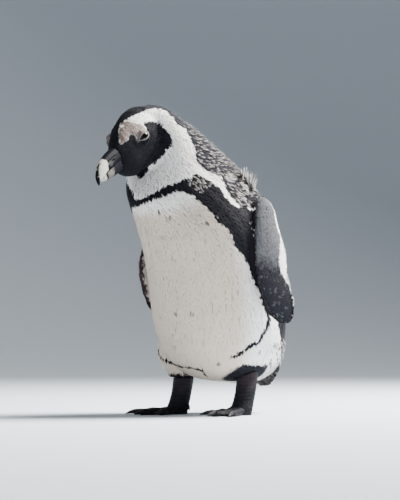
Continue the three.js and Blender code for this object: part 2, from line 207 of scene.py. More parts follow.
PLUMAGE = tinted_material("plumage", 0.85, shine=0.12, bump_scale=1400, bump_height=0.00015)
BARE_SKIN = tinted_material("bare_skin", 0.6, shine=0.3, bump_scale=900, bump_height=0.0002)
FOOT_SKIN = tinted_material("foot_skin", 0.6, shine=0.1, bump_scale=620, bump_height=0.0005, scaly=True)
HORN = tinted_material("horn", 0.55, shine=0.02, bump_scale=500, bump_height=0.00015)
CLAW = tinted_material("claw_horn", 0.45, shine=0.12, bump_scale=600, bump_height=0.0001)
EYE = tinted_material("wet_eye", 0.07, shine=0.08, bump_scale=300, bump_height=0.00001, coat=0.03)
print("six finishes")

# %% [markdown]
# ## The floor
# A plain pale floor bends up all round, like a wide bowl, so no horizon shows from any side. Its
# profile is a row of points, turned round the middle ring by ring. It belongs to the stage only.

# %% Lay the floor
FLAT_RADIUS, BEND_RADIUS, BEND_ANGLE = 2.6, 2.2, 1.45
FLOOR_SIDES = 96
profile = [(r, 0.0) for r in (0.02, 0.5, 1.2, 2.0)]
profile += [(FLAT_RADIUS + BEND_RADIUS * math.sin(a), BEND_RADIUS - BEND_RADIUS * math.cos(a))
            for a in np.linspace(0, BEND_ANGLE, 24)]
floor_mesh = bmesh.new()
turns = np.linspace(0, 2 * math.pi, FLOOR_SIDES + 1)[:-1]
rows = [[floor_mesh.verts.new((r * math.cos(a), r * math.sin(a), z)) for a in turns] for r, z in profile]
floor_mesh.faces.new(rows[0])
for inner, outer in zip(rows, rows[1:]):
    for i in range(FLOOR_SIDES):
        floor_mesh.faces.new((inner[i - 1], outer[i - 1], outer[i], inner[i])).smooth = True
bmesh.ops.recalc_face_normals(floor_mesh, faces=floor_mesh.faces)
floor_data = bpy.data.meshes.new("floor")
floor_mesh.to_mesh(floor_data)
floor_mesh.free()
PAPER = bpy.data.materials.new("paper")
PAPER.use_nodes = True
paper_sockets = PAPER.node_tree.nodes["Principled BSDF"].inputs
paper_sockets["Base Color"].default_value = (0.56, 0.62, 0.68, 1)
paper_sockets["Roughness"].default_value = 0.9
floor = bpy.data.objects.new("floor", floor_data)
shown(floor, PAPER)
print("floor laid in", len(profile), "rings")

# %% [markdown]
# ## A chart of the body
# Markings and feathers need to know where on the bird they are. The body is a stack of slanting
# sections, so a place on it is a section number `t`, from 0 at the vent to 13 in the head, and an
# angle `phi` round the section: 0 at the front, 90 on the bird's left and 180 along the back.
# All chart work is in millimetres, in a frame whose origin lies on the floor between the feet.

# %% Define the body chart
# Where the chart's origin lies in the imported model.
CHART_ORIGIN = np.array([-2.1026, 33.3077, 0.0])


def to_mm(points):
    """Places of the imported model, in metres, as millimetres from the chart's origin."""
    return np.asarray(points, float) * 1000 - CHART_ORIGIN


def to_metres(points):
    """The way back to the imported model's own places."""
    return (np.asarray(points, float) + CHART_ORIGIN) / 1000


# Each station: front edge (y, z), back edge (y, z), half width, and how far it lies to the right.
BODY = np.array([
    [26, 37, 42, 35, 4, 0], [-6, 40, 72, 38, 29, 0], [-34, 49, 93, 55, 50, 0],
    [-53, 70, 92, 83, 66, 0], [-64, 101, 86, 117, 74.5, 0], [-70, 134, 80, 152, 76, 0],
    [-74, 166, 72, 192, 77, 1], [-78, 190, 61, 231, 77, 4], [-82, 209, 44, 265, 72, 11],
    [-87, 226, 20, 294, 63, 20], [-90, 243, -9, 321, 51, 29], [-81, 260, -36, 342, 40, 36],
    [-72, 279, -59, 354, 32, 41], [-76, 299, -82, 351, 20, 45],
], float)


def between(stations, t):
    """Rows between the stations, on a smooth curve through them."""
    last = len(stations) - 1
    t = np.clip(t, 0, last)
    i = np.clip(np.floor(t).astype(int), 0, last - 1)
    x = (t - i)[:, None]
    a, b = stations[i], stations[i + 1]
    before = np.where((i > 0)[:, None], stations[np.maximum(i - 1, 0)], 2 * a - b)
    after = np.where((i < last - 1)[:, None], stations[np.minimum(i + 2, last)], 2 * b - a)
    square = 2 * before - 5 * a + 4 * b - after
    cubic = -before + 3 * a - 3 * b + after
    return 0.5 * (2 * a + (b - before) * x + square * x**2 + cubic * x**3)


# Fine sections for the chart, which go on straight a little past both ends of the body.
SECTION_T = np.linspace(-0.6, 13.6, 214)
inner_t = np.clip(SECTION_T, 0, 13)
beyond = (SECTION_T - inner_t)[:, None]
past_the_end = np.where(beyond < 0, BODY[1] - BODY[0], BODY[13] - BODY[12])
SECTIONS = between(BODY, inner_t) + beyond * past_the_end
# Points are charted in batches. One that lies too far out, in half depths of its section, takes the
# head's end of the chart if it is high up, and the nearest section if it is low.
BATCH = 8000
FAR_OUT = 2.5
HIGH_UP = 200


def body_chart(points):
    """Section number t and angle phi in degrees for points in millimetres."""
    front, back = SECTIONS[:, :2], SECTIONS[:, 2:4]
    reach = np.linalg.norm(back - front, axis=1)
    axis = (back - front) / reach[:, None]
    normal = np.stack([-axis[:, 1], axis[:, 0]], 1)
    last = len(SECTION_T) - 2
    t, phi = np.empty(len(points)), np.empty(len(points))
    for start in range(0, len(points), BATCH):
        p = points[start:start + BATCH]
        off = p[:, None, 1:3] - ((front + back) / 2)[None]
        height = (off * normal[None]).sum(-1)
        along = np.abs((off * axis[None]).sum(-1)) / (reach / 2)[None]
        crossed = (height[:, :-1] > 0) != (height[:, 1:] > 0)
        cost = np.where(crossed, along[:, :-1], np.inf)
        k = cost.argmin(1)
        nearest = np.minimum(np.abs(height).argmin(1), last)
        lost = np.where(p[:, 2] > HIGH_UP, last, nearest)
        k = np.where(cost.min(1) > FAR_OUT, lost, k)
        row = np.arange(len(p))
        h0, h1 = height[row, k], height[row, k + 1]
        w = np.clip(h0 / (h0 - h1 + 1e-12), 0, 1)
        s = SECTIONS[k] * (1 - w[:, None]) + SECTIONS[k + 1] * w[:, None]
        half_axis = (s[:, 2:4] - s[:, :2]) / 2
        ahead = -((p[:, 1:3] - (s[:, :2] + s[:, 2:4]) / 2) * half_axis).sum(1) / (half_axis**2).sum(1)
        sideways = (p[:, 0] + s[:, 5]) / np.maximum(s[:, 4], 3)
        t[start:start + BATCH] = SECTION_T[k] + w * (SECTION_T[1] - SECTION_T[0])
        phi[start:start + BATCH] = np.degrees(np.arctan2(sideways, ahead))
    return t, phi


def body_point(t, phi):
    """The place on the plumage's outline for a section number and an angle."""
    s = between(BODY, t)
    a = np.radians(phi)
    yz = (s[:, :2] + s[:, 2:4]) / 2 - (s[:, 2:4] - s[:, :2]) / 2 * np.cos(a)[:, None]
    return np.column_stack([-s[:, 5] + s[:, 4] * np.sin(a), yz])


check_t, check_phi = body_chart(body_point(np.array([3.0, 7.5]), np.array([40.0, -120.0])))
print("chart test", check_t.round(2), check_phi.round(1))

# %% [markdown]
# ## A chart of the head and of the flippers
# The head has its own directions: `f` forward along the bill, `l` to its left and `u` up, with an
# angle `theta` round it that is 0 on the crown and 180 at the chin.
# A flipper is charted by its station `s`, from shoulder to tip, and by `c` across it, which runs
# from -1 at the leading edge to 1 at the trailing edge.

# %% Define the head and flipper charts
def turned(v):
    """Rolls, pitches and turns a direction the way the head is held."""
    roll, pitch, turn = np.radians([-3, 29, 11])
    x, y, z = v
    x, z = x * np.cos(roll) + z * np.sin(roll), -x * np.sin(roll) + z * np.cos(roll)
    y, z = y * np.cos(pitch) - z * np.sin(pitch), y * np.sin(pitch) + z * np.cos(pitch)
    return np.array([x * np.cos(turn) - y * np.sin(turn), x * np.sin(turn) + y * np.cos(turn), z])


# The middle of the head, between the eyes and a little above and ahead of them.
HEAD = np.array([-45, -104, 312.5])
FORWARD, LEFT, UP = turned((0, -1, 0)), turned((1, 0, 0)), turned((0, 0, 1))
# Each station: forward, top, underside and half width.
HEAD_STATIONS = np.array([
    [-54, 10, -12, 7], [-47, 20.5, -29, 22], [-33, 23, -40, 29.5], [-16, 20.5, -44, 29],
    [-2, 17.5, -44, 25], [10, 14.5, -44.5, 21], [20, 10, -42, 18], [28, 5, -36.5, 14],
    [34, 2, -31, 10], [37, -4, -20, 4],
])
# A plane between head and neck: a place on it, and its direction, which leans up from the bill's.
PLANE_LEAN = math.radians(46)
HEAD_PLANE = HEAD - 17 * FORWARD - 11 * UP
HEAD_NORMAL = FORWARD * math.cos(PLANE_LEAN) + UP * math.sin(PLANE_LEAN)


def in_head(f, l, u):
    """Points in millimetres for head directions."""
    return HEAD + np.multiply.outer(f, FORWARD) + np.multiply.outer(l, LEFT) + np.multiply.outer(u, UP)


def head_chart(points):
    """Head directions f, l and u in millimetres, and the angle theta in degrees."""
    q = points - HEAD
    f, l, u = q @ FORWARD, q @ LEFT, q @ UP
    top, under = (np.interp(f, HEAD_STATIONS[:, 0], HEAD_STATIONS[:, k]) for k in (1, 2))
    half = np.interp(f, HEAD_STATIONS[:, 0], HEAD_STATIONS[:, 3])
    theta = np.degrees(np.arctan2(l / half, (u - (top + under) / 2) / ((top - under) / 2)))
    return f, l, u, theta


# Left is side 1 and right is side -1. Each station: middle (x, y, z), half chord, and by how many
# degrees the trailing edge turns outwards.
FLIPPERS = {
    1: np.array([
        [60, 6, 244, 8, 6], [70.5, 1.5, 235, 14, 7], [76, -3, 220, 18, 9],
        [80.5, -5, 200, 21.5, 11], [83.5, -4.5, 180, 24.5, 14], [85.5, -5.5, 158, 24.5, 14],
        [88, 0, 138, 23.5, 16], [90, 8, 122, 21, 17], [91.5, 17, 111.5, 14.5, 18],
        [93, 24, 106.5, 5, 18],
    ]),
    -1: np.array([
        [-57, -2, 236, 8, 0], [-67, -5, 227, 14, 0], [-75, -10, 212, 18, 2],
        [-80.5, -13, 194, 20.5, 3], [-85, -14, 174, 23, 3], [-87, -6, 155, 23.5, 1],
        [-88, 5, 138, 22.5, -2], [-88, 19, 124, 18.5, -4], [-87, 32, 114, 11, -6],
        [-86, 41, 109, 3.5, -6],
    ]),
}


def flipper_frame(side):
    """Stations along a flipper: number, middle, half chord, and its three directions."""
    s = np.linspace(0, 9, 91)
    rows = between(FLIPPERS[side].astype(float), s)
    middle = rows[:, :3]
    along = np.gradient(middle, axis=0)
    along /= np.linalg.norm(along, axis=1)[:, None]
    a = np.radians(rows[:, 4])
    trailing = np.column_stack([side * np.sin(a), np.cos(a), np.zeros(len(a))])
    trailing -= along * (trailing * along).sum(1)[:, None]
    trailing /= np.linalg.norm(trailing, axis=1)[:, None]
    outward = np.cross(along, trailing)
    outward *= np.sign(outward[:, :1]) * side
    return s, middle, rows[:, 3], along, trailing, outward


FLIPPER_FRAMES = {side: flipper_frame(side) for side in (1, -1)}


def flipper_chart(points, side):
    """Station s, place c across the chord, height h outside the middle plane, and the frame's row."""
    s, middle, chord, along, trailing, outward = FLIPPER_FRAMES[side]
    off = points[:, None] - middle[None]
    k = (np.abs((off * along[None]).sum(-1)) + 0.1 * np.linalg.norm(off, axis=-1)).argmin(1)
    d = off[np.arange(len(points)), k]
    return s[k], (d * trailing[k]).sum(1) / chord[k], (d * outward[k]).sum(1), k


print("head points", FORWARD.round(3), "left", LEFT.round(3), "up", UP.round(3))

# %% [markdown]
# ## The colours
# The plumage has only a few colours: a clean white, a warmer and darker white on the belly whose
# darkness is painted shade, blacks that differ a little, and a slate grey on the flippers that is
# partly painted sunlight. The rest belong to skin, horn and eyes.

# %% Name the colours
WHITE = linear(246, 245, 242)
# The belly's white: a warmer tone, made darker by painted shade for the shade the belly stands in.
BELLY_WARMTH_AND_SHADE = linear(206, 192, 177)
BLACK = linear(15, 15, 21)
NAPE = linear(30, 30, 37)
# A slate grey: partly the grey of the scaly flipper feathers, partly painted sunlight on them.
SLATE_AND_SHEEN = linear(82, 83, 87)
DARK_SLATE = linear(27, 27, 33)
# A grey-brown: painted shade on the underside round the vent, and also the grey in the mottling of rump
# and tail.
VENT_GREY_AND_SHADE = linear(106, 98, 93)
# The pale grey of old feather tips, also used for the painted highlight along a flipper's leading edge.
PALE_TIP_AND_HIGHLIGHT = linear(150, 148, 147)
WARM_TIP = linear(120, 113, 108)
# A dark reddish brown for the margins under a flipper, partly painted shade.
UNDER_DARK_AND_SHADE = linear(58, 44, 46)
UNDER_PALE = linear(205, 192, 186)
PATCH = linear(106, 93, 88)
LID = linear(112, 110, 110)
LID_LINING = linear(20, 16, 16)
FOOT = linear(21, 21, 27)
FOOT_PINK = linear(70, 60, 62)
PUPIL = linear(8, 6, 6)
IRIS = linear(24, 15, 11)
IRIS_RIM = linear(14, 9, 8)
HORN_BLACK = linear(11, 12, 18)
HORN_GREY = linear(50, 54, 53)
HORN_BAND = linear(172, 171, 162)
LOWER_HORN_BLACK = linear(22, 22, 28)
LOWER_HORN_GREY = linear(90, 88, 84)
LOWER_HORN_BAND = linear(172, 170, 162)
CLAW_BLACK = linear(44, 42, 44)
print("white reflects", WHITE.round(2), "and black", BLACK.round(4))

# %% [markdown]
# ## Tools for drawing markings
# Markings could be painted on an image, but plain functions of place stay sharp at any distance and
# serve the skin and every feather alike. An outline gives a signed distance, a ramp turns that into
# a soft edge, and a wobble makes the edge slightly ragged.

# %% Define the drawing tools
def ramp(x, low, high):
    """0 below low, 1 above high and smooth between."""
    x = np.clip((x - low) / (high - low), 0, 1)
    return x * x * (3 - 2 * x)


def mixed(a, b, w):
    """Rows of a turned towards b by the weights w."""
    return a + (b - a) * np.asarray(w)[:, None]


def plain(colour, points):
    """One row of the same colour for each point."""
    return np.tile(colour, (len(points), 1))


WAVES = 14


def wobble(points, size, seed):
    """A smooth random field of about that size in millimetres, mostly between -1 and 1."""
    rng = np.random.default_rng(seed)
    directions = rng.normal(size=(WAVES, 3))
    directions /= np.linalg.norm(directions, axis=1)[:, None]
    waves = 2 * np.pi / (size * rng.uniform(0.7, 1.6, WAVES))
    phases = rng.uniform(0, 2 * np.pi, WAVES)
    return np.sin(points @ (directions * waves[:, None]).T + phases).sum(1) / math.sqrt(WAVES)


def inside(x, y, outline):
    """Signed distance to a closed outline, positive inside."""
    corners = np.asarray(outline, float)
    best = np.full(len(x), np.inf)
    within = np.zeros(len(x), bool)
    for (ax, ay), (bx, by) in zip(corners, np.roll(corners, -1, 0)):
        dx, dy = bx - ax, by - ay
        k = np.clip(((x - ax) * dx + (y - ay) * dy) / (dx * dx + dy * dy), 0, 1)
        best = np.minimum(best, np.hypot(x - ax - k * dx, y - ay - k * dy))
        crosses = (ay > y) != (by > y)
        within ^= crosses & (x < ax + (y - ay) * dx / (dy if dy else 1e-9))
    return np.where(within, best, -best)


def read_off(x, line):
    """The second column of a line of pairs, where its first column is x."""
    return np.interp(x, line[:, 0], line[:, 1])


def near_line(points, line):
    """Distance from points to a chain of straight pieces."""
    best = np.full(len(points), np.inf)
    for a, b in zip(line, line[1:]):
        a, d = np.array(a, float), np.subtract(b, a).astype(float)
        k = np.clip(((points - a) @ d) / (d @ d), 0, 1)
        best = np.minimum(best, np.linalg.norm(points - a - k[:, None] * d, axis=1))
    return best


print("a wobble sums", WAVES, "waves")

# %% [markdown]
# ## The outlines
# A black band crosses the breast and runs down each flank, a thin stripe runs down over each thigh,
# and black covers the back, the cap and the face. Each outline is a short list of places on a chart.

# %% Draw the outlines
# Rough millimetres to a degree round the body, to a section, and to a degree round the head.
PHI_MM, T_MM, THETA_MM = 1.15, 27.0, 0.47
# The two edges of the band, as angle and section.
BAND_INNER = [
    (95, 2), (84.7, 3.98), (68, 5.71), (64.8, 6.03), (59.6, 6.37), (56.6, 6.76), (56.1, 7.35),
    (53.5, 7.65), (53.6, 8.21), (53.7, 8.74), (53, 9.07), (51.5, 9.47), (44.5, 9.83), (28.5, 9.84),
    (17, 9.84), (6, 9.78), (-17, 9.42), (-34, 9.15), (-45, 8.6), (-53, 8.2), (-53.5, 7.65),
    (-56.1, 7.35), (-56.6, 6.76), (-59.6, 6.37), (-64.8, 6.03), (-68, 5.71), (-84.7, 3.98), (-95, 2),
]
BAND_OUTER = [
    (-87, 3.7), (-88, 4), (-90, 5), (-91, 6.5), (-91, 7.5), (-88.8, 7.84), (-78.4, 8.02),
    (-75.6, 8.4), (-79.6, 9), (-78, 9.6), (-72, 10), (-60, 10.3), (-40, 10.45), (-27.5, 10.28),
    (-21.8, 9.85), (-14.8, 9.84), (0, 10.01), (11, 10.13), (29, 10.34), (40, 10.28), (50, 10.17),
    (61.5, 10.03), (69.5, 9.99), (75, 9.83), (77.6, 9.62), (79.6, 9.01), (75.4, 8.51), (75.8, 8.23),
    (78.4, 8.02), (88.8, 7.84), (91, 7.5), (91, 6.5), (90, 5), (88, 4), (87, 3.7),
]
# Where the dark back begins, as section and angle.
BACK_EDGE = np.array([
    (0.5, 165), (1.5, 150), (2.2, 130), (2.8, 114), (3.5, 103), (3.8, 99), (5, 95), (6.5, 91),
    (7.8, 91), (7.84, 88.8), (8.01, 84.8), (8.24, 80.4), (8.58, 81.4), (8.94, 87.8), (9.25, 94),
    (9.57, 89.1), (9.92, 87.8), (10.27, 89.3), (10.48, 100.5), (10.77, 110), (11.05, 120),
    (11.6, 116), (12.13, 142), (12.6, 150),
])
# The mask on either side of the face, as millimetres forward and degrees from the crown.
MASK = [
    (-14.8, 45), (-22.3, 53), (-29.2, 64), (-31.4, 75), (-29.3, 88), (-28.2, 94), (-26.6, 99),
    (-21.7, 106.5), (-16.8, 114), (-11.9, 132), (-9.6, 156), (-6, 169), (-5, 195), (60, 195), (60, 0),
    (33, 0), (26, 28.4), (24.6, 35.8), (21, 40.5), (18.8, 43.7), (14.4, 43.1), (9.7, 42.3),
    (6.7, 46.8), (6.9, 54.4), (7.8, 62), (7.6, 67), (0, 74), (-9, 64),
]
# The left edge and the middle of the cap, as millimetres forward and to the left.
CAP_LEFT = np.array([
    (-48, 30), (-43.7, 22.3), (-34.6, 16.8), (-19.5, 8.9), (-12, 3), (-8, 0), (-3, -3.5), (3, -1.5),
    (12, 1), (20, 4.5), (26, 6.8), (33, 9), (40, 9),
])
CAP_MIDDLE = np.array([
    (-48, 0), (-30, -1), (-20, -3.5), (-12, -7), (-3, -10), (3, -9.5), (12, -7.5), (20, -5),
    (26, -2.5), (33, 0),
])
# Where the mask runs on behind the head, as millimetres down and half width, in directions that
# pitch by REAR_SIN and REAR_COS from the head's own.
REAR_SIN, REAR_COS = 0.454, 0.89
MASK_REAR = np.array([
    (-18, 27), (-15, 32.5), (-6.4, 36.8), (-1.6, 40), (3.1, 41.9), (11.8, 42), (18.5, 35.9),
    (27.6, 24.4), (35, 13), (40, 8), (44, 4), (48, -3),
])
# The thin lower stripes, as places in millimetres.
LEFT_STRIPE = [
    (72.1, 5.1, 107.5), (69.6, 4.5, 96.3), (67.6, 0.7, 89.5), (65, -1.8, 82.8), (62.6, -6.2, 79.4),
    (60.3, -12.3, 77.8), (56.7, -15.6, 73.9), (52.1, -19.9, 68.6), (45.6, -26.3, 64.9),
]
RIGHT_STRIPE = [
    (-72.1, 5.1, 107.5), (-69.6, 0, 92), (-66, -16, 78), (-60, -26, 68), (-53.3, -30, 60),
    (-44, -31, 58), (-33, -31, 56), (-4.2, -38, 52.4), (8.6, -33.4, 49.9), (6, -22, 44),
]
# Each spot of the breast and belly: section, angle, radius in millimetres and how dark it is.
SPOTS = [
    (8.95, 7.3, 1.9, 1), (8.53, 15.4, 1.9, 1), (7.77, 42.6, 2, 0.9), (6.66, -16.4, 2, 0.35),
    (6.27, 3.2, 2, 0.3), (4.35, -2, 2.2, 0.8), (4.34, 13.6, 2.2, 0.8), (4.24, -23.1, 2, 0.4),
    (2.81, 76, 2, 0.7), (7.4, -5, 1.8, 0.3), (5.3, 44, 1.6, 0.25), (3.2, -12, 1.8, 0.35),
    (2.45, 33, 2.6, 0.8),
]
# Where the white feathers of the brow begin, as millimetres sideways and forward.
BROW_LINE = np.array([(0, -7), (5.4, -7.1), (8, -6.6), (15.2, -8.3), (20.4, -11), (24.5, -10)])
# A white tuft and a black notch on the brow, as millimetres forward, left and up.
BROW_TUFT, BROW_NOTCH = (2.4, 1.4, 16.3), (-5.5, 1.6, 18)
# The squiggle of dark skin on the left bare patch, as millimetres forward, left and up.
SQUIGGLE = np.array([
    (17, 13.4, 5.2), (14, 12.6, 7.6), (11.5, 13.8, 7.4), (10.5, 15, 5.6), (12.5, 16, 4.4),
    (11, 17.4, 3.2), (8.5, 18, 3.8),
])
# How wide the flipper's white trailing edge is, as station and share of the half chord.
WHITE_EDGE = np.array([
    (0, 0.2), (0.6, 0.45), (1, 0.5), (2.6, 0.42), (3.1, 0.2), (3.6, 0.5), (4.4, 0.62), (5.4, 0.38),
    (6, 0.14), (7.5, 0.09), (8.4, 0),
])
# For each side: how high the black cuff of the leg reaches, and where its shank stands.
CUFF_TOP = {1: 56, -1: 45}
CUFF_PLACE = {1: (35.5, 13.0), -1: (-46.0, -1.0)}
print(len(BAND_INNER) + len(BAND_OUTER), "points in the band and", len(MASK), "in the mask")

# %% [markdown]
# ## Painting the body
# Trunk, neck and thighs start white and turn warmer and darker towards the belly, where the darkness
# is painted shade, and grey-brown round the vent, which is painted shade under the body. The band,
# stripes, spots, back and black cuffs are laid over that in turn.

# %% Paint the body
def on_chart(line):
    """A chain of places near the body, laid on its chart in millimetres."""
    t, phi = body_chart(np.array(line, float))
    return np.column_stack([phi * PHI_MM, t * T_MM])


def body_paint(points, t, phi):
    """The pattern of trunk, neck and thighs."""
    rag = wobble(points, 7, 3) + wobble(points, 2.6, 4) * 0.6
    x, y = phi * PHI_MM, t * T_MM
    # Towards the belly the white turns warmer and darker; the darkness is painted shade.
    warm_and_shaded = ramp(9.6 - t, 0, 1.2) * ramp(75 - np.abs(phi), 0, 25)
    colour = mixed(plain(WHITE, points), BELLY_WARMTH_AND_SHADE, warm_and_shaded)
    colour = colour * (1 - 0.05 * ramp(wobble(points, 26, 5), 0, 1))[:, None]
    # Round the vent the underside turns grey-brown: painted shade under the body.
    vent_shade_mask = ramp(2.1 - t, -0.3, 0.5) * ramp(np.abs(phi), 84, 112)
    colour = mixed(colour, VENT_GREY_AND_SHADE, vent_shade_mask * (0.7 + 0.3 * wobble(points, 6, 6)).clip(0, 1))
    band = np.minimum(
        inside(x, y, [(p * PHI_MM, s * T_MM) for p, s in BAND_OUTER]),
        -inside(x, y, [(p * PHI_MM, s * T_MM) for p, s in BAND_INNER]),
    )
    charted = np.column_stack([x, y])
    stripe = 1.9 - np.minimum(near_line(charted, on_chart(LEFT_STRIPE)),
                              near_line(charted, on_chart(RIGHT_STRIPE)))
    colour = mixed(colour, BLACK, ramp(band + 0.7 + rag * 0.8, -0.8, 0.8))
    colour = mixed(colour, BLACK, ramp(stripe + rag * 0.5, -0.7, 0.6))
    for spot_t, spot_phi, radius, dark in SPOTS:
        place = body_point(np.array([spot_t]), np.array([float(spot_phi)]))
        near = radius - np.linalg.norm(points - place, axis=1) + rag * 0.3
        colour = mixed(colour, BLACK, dark * 0.85 * ramp(near, -0.9, 0.5))
    back = (np.abs(phi) - read_off(t, BACK_EDGE)) * PHI_MM
    back = np.where(t > 12.7, -9, back)
    dorsal = mixed(plain(BLACK, points), NAPE, ramp(t, 7, 9.5))
    lower = ramp(3.6 - t, 0, 0.9) * 0.6
    dorsal = mixed(dorsal, VENT_GREY_AND_SHADE, lower * (0.5 + 0.5 * wobble(points, 5, 8)).clip(0, 1))
    colour = mixed(colour, dorsal, ramp(back + rag, -1, 1))
    for side, top in CUFF_TOP.items():
        near = 27 - np.hypot(*(points[:, :2] - CUFF_PLACE[side]).T)
        colour = mixed(colour, BLACK, ramp(top - points[:, 2] + rag, -1.5, 1) * ramp(near, -3, 3))
    return colour


sample = body_point(np.array([7.0, 7.0]), np.array([0.0, 180.0]))
print("breast and back", body_paint(sample, *body_chart(sample)).round(2).tolist())

# %% [markdown]
# ## Painting the head
# The cap and mask leave a bare patch of pinkish skin above each eye. A place is part of the patch
# when it lies outside both, and ahead of where the white feathers of the brow begin.

# %% Paint the head
def head_paint(points, colour, on_head):
    """Adds cap, mask and bare patches to a coat that is white so far. Also says how bare a place is."""
    f, l, u, theta = head_chart(points)
    rag = wobble(points, 4, 11) * 0.5 + wobble(points, 1.7, 12) * 0.3
    there = ramp(f, -58, -52)
    high = ramp(88 - np.abs(theta), 0, 8)
    cap_left = read_off(f, CAP_LEFT)
    middle = read_off(f, CAP_MIDDLE)
    cap = np.minimum(cap_left - l, l - (2 * middle - cap_left))
    mask = inside(f, np.abs(theta) * THETA_MM, [(a, b * THETA_MM) for a, b in MASK])
    down, ahead = REAR_SIN * f - REAR_COS * u, REAR_COS * f + REAR_SIN * u
    rear = read_off(down, MASK_REAR) - np.abs(l)
    rear = np.minimum(rear + 2 * np.maximum(ahead + 23, 0), 52 - down)
    rear = np.minimum(np.minimum(rear, (ahead + 38) * 0.5), down + 18)
    mask = np.where(on_head, mask, rear)
    above = ramp(-mask, -0.6, 0.6) * ramp(-cap, -0.4, 0.7) * ramp(100 - np.abs(theta), 0, 10)
    front = f - read_off(np.abs(l), BROW_LINE)
    bare = there * above * ramp(front + rag * 0.6, -0.8, 0.8)
    crown = mixed(plain(BLACK, points), NAPE, ramp(-f, 14, 40) * 0.8)
    colour = mixed(colour, crown, there * high * ramp(cap + rag, -0.8, 0.8))
    colour = mixed(colour, BLACK, ramp(mask + rag, -0.7, 0.7))
    shade = (0.86 + 0.14 * wobble(points, 5, 13)).clip(0.6, 1.1)
    colour = mixed(colour, PATCH * shade.mean(), bare)
    colour = colour * np.where(bare > 0.5, shade / shade.mean(), 1)[:, None]
    tuft = 2.6 - np.linalg.norm(points - in_head(*BROW_TUFT), axis=1)
    colour = mixed(colour, WHITE, ramp(tuft + rag * 0.6, -0.5, 0.5))
    notch = 2.2 - np.linalg.norm(points - in_head(*BROW_NOTCH), axis=1)
    colour = mixed(colour, BLACK, ramp(notch + rag * 0.5, -0.5, 0.5))
    squiggle = 0.9 - near_line(points, in_head(*SQUIGGLE.T))
    colour = mixed(colour, BLACK, 0.8 * bare * ramp(squiggle, -0.7, 0.4))
    return colour, np.clip(bare - ramp(tuft, -1, 1) - ramp(notch, -1, 1), 0, 1)


sample = in_head(np.array([-20.0, 5.0]), np.array([0.0, 15.0]), np.array([22.0, 8.0]))
print("crown and brow are bare by", head_paint(sample, plain(WHITE, sample), True)[1].round(2).tolist())

# %% [markdown]
# ## Painting the flippers
# A flipper is slate near the shoulder, which is partly painted sunlight on it, and almost black
# beyond, with a ragged white trailing edge and a painted highlight along the leading edge. Its
# underside is paler in the middle, and its dark margins hold painted shade. All of it follows the
# flipper's own chart, so the pattern bends with the wing.

# %% Paint the flippers
def flipper_paint(points, side):
    """Slate with painted sheen by the shoulder, near black beyond, a white trailing edge and painted
    highlight; paler underneath.
    """
    s, c, h, _ = flipper_chart(points, side)
    rag = wobble(points, 5, 21 + side) * 0.8 + wobble(points, 2, 23) * 0.5
    # Slate near the shoulder, lighter partly by painted sunlight, and almost black beyond.
    colour = mixed(plain(SLATE_AND_SHEEN, points), DARK_SLATE, ramp(s + rag * 0.25, 4.0, 5.0))
    fleck = ramp(wobble(points, 4, 25), 0.75, 1.4) * ramp(s, 4.2, 5.2) * 0.55
    colour = mixed(colour, SLATE_AND_SHEEN, fleck)
    width = read_off(s, WHITE_EDGE)
    colour = mixed(colour, WHITE, ramp(c - (1 - width) + rag * 0.05, -0.05, 0.05))
    # A pale line along the leading edge: a painted highlight.
    leading_highlight = ramp(-c, 0.93, 0.99) * ramp(s, 1, 2) * ramp(8 - s, 0, 1)
    colour = mixed(colour, PALE_TIP_AND_HIGHLIGHT, leading_highlight * 0.8)
    # Underneath: a pale middle between dark margins, whose darkness is partly painted shade.
    under = ramp(-h, 0.2, 1.2)
    pale = np.minimum(1 - np.abs(c + 0.05) * 1.25, (8 - s) / 3)
    below = mixed(plain(UNDER_DARK_AND_SHADE, points), UNDER_PALE, ramp(pale + rag * 0.12, 0.15, 0.4))
    return mixed(colour, below, under)


sample = FLIPPER_FRAMES[1][1][[10, 80]] + [9, 0, 0]
print("flipper near shoulder and tip", flipper_paint(sample, 1).round(3).tolist())

# %% [markdown]
# ## One paint for the whole bird
# The body, head and flippers are painted by region, and the head's paint fades into the body's
# low on the neck. This one function colours the skin and, later on, every feather.

# %% Paint any part of the bird
# The nodes of flesh. The feet come last, because they have no feathers.
REGIONS = ["trunk", "neck", "head", "flipper_left", "flipper_right", "tail", "thigh_left", "thigh_right",
           "foot_left", "foot_right"]
TRUNK, NECK, CROWN, FLIPPER_L, FLIPPER_R, TAIL, THIGH_L, THIGH_R, FOOT_L = range(9)


def paint(points, region):
    """The colour of each point and how bare its skin is."""
    t, phi = body_chart(points)
    colour = body_paint(points, t, phi)
    side = (points - HEAD_PLANE) @ HEAD_NORMAL
    body_white = np.where((side > -4)[:, None], WHITE, colour)
    with_head, bare = head_paint(points, body_white, region == CROWN)
    near_head = ramp(side, -36, -32) * np.isin(region, (NECK, CROWN))
    neck_only = np.isin(region, (NECK, CROWN)) & (side <= -4)
    dark_already = neck_only & (colour.mean(1) < 0.3)
    with_head = np.where(dark_already[:, None], np.minimum(with_head, colour), with_head)
    colour = mixed(colour, with_head, near_head)
    for flipper, flipper_side in ((FLIPPER_L, 1), (FLIPPER_R, -1)):
        here = region == flipper
        if here.any():
            colour[here] = flipper_paint(points[here], flipper_side)
    here = region == TAIL
    streak = (0.5 + 0.5 * wobble(points, 5, 31)).clip(0, 1)
    colour[here] = mixed(plain(DARK_SLATE, points[here]), VENT_GREY_AND_SHADE, streak[here] * 0.6)
    here = region >= FOOT_L
    high = ramp(points[:, 2] + wobble(points, 9, 32) * 5, 14, 50) * 0.4
    colour[here] = mixed(plain(FOOT, points[here]), FOOT_PINK, high[here])
    return colour, bare * near_head


print("markings ready:", len(SPOTS), "spots and", len(REGIONS), "regions")

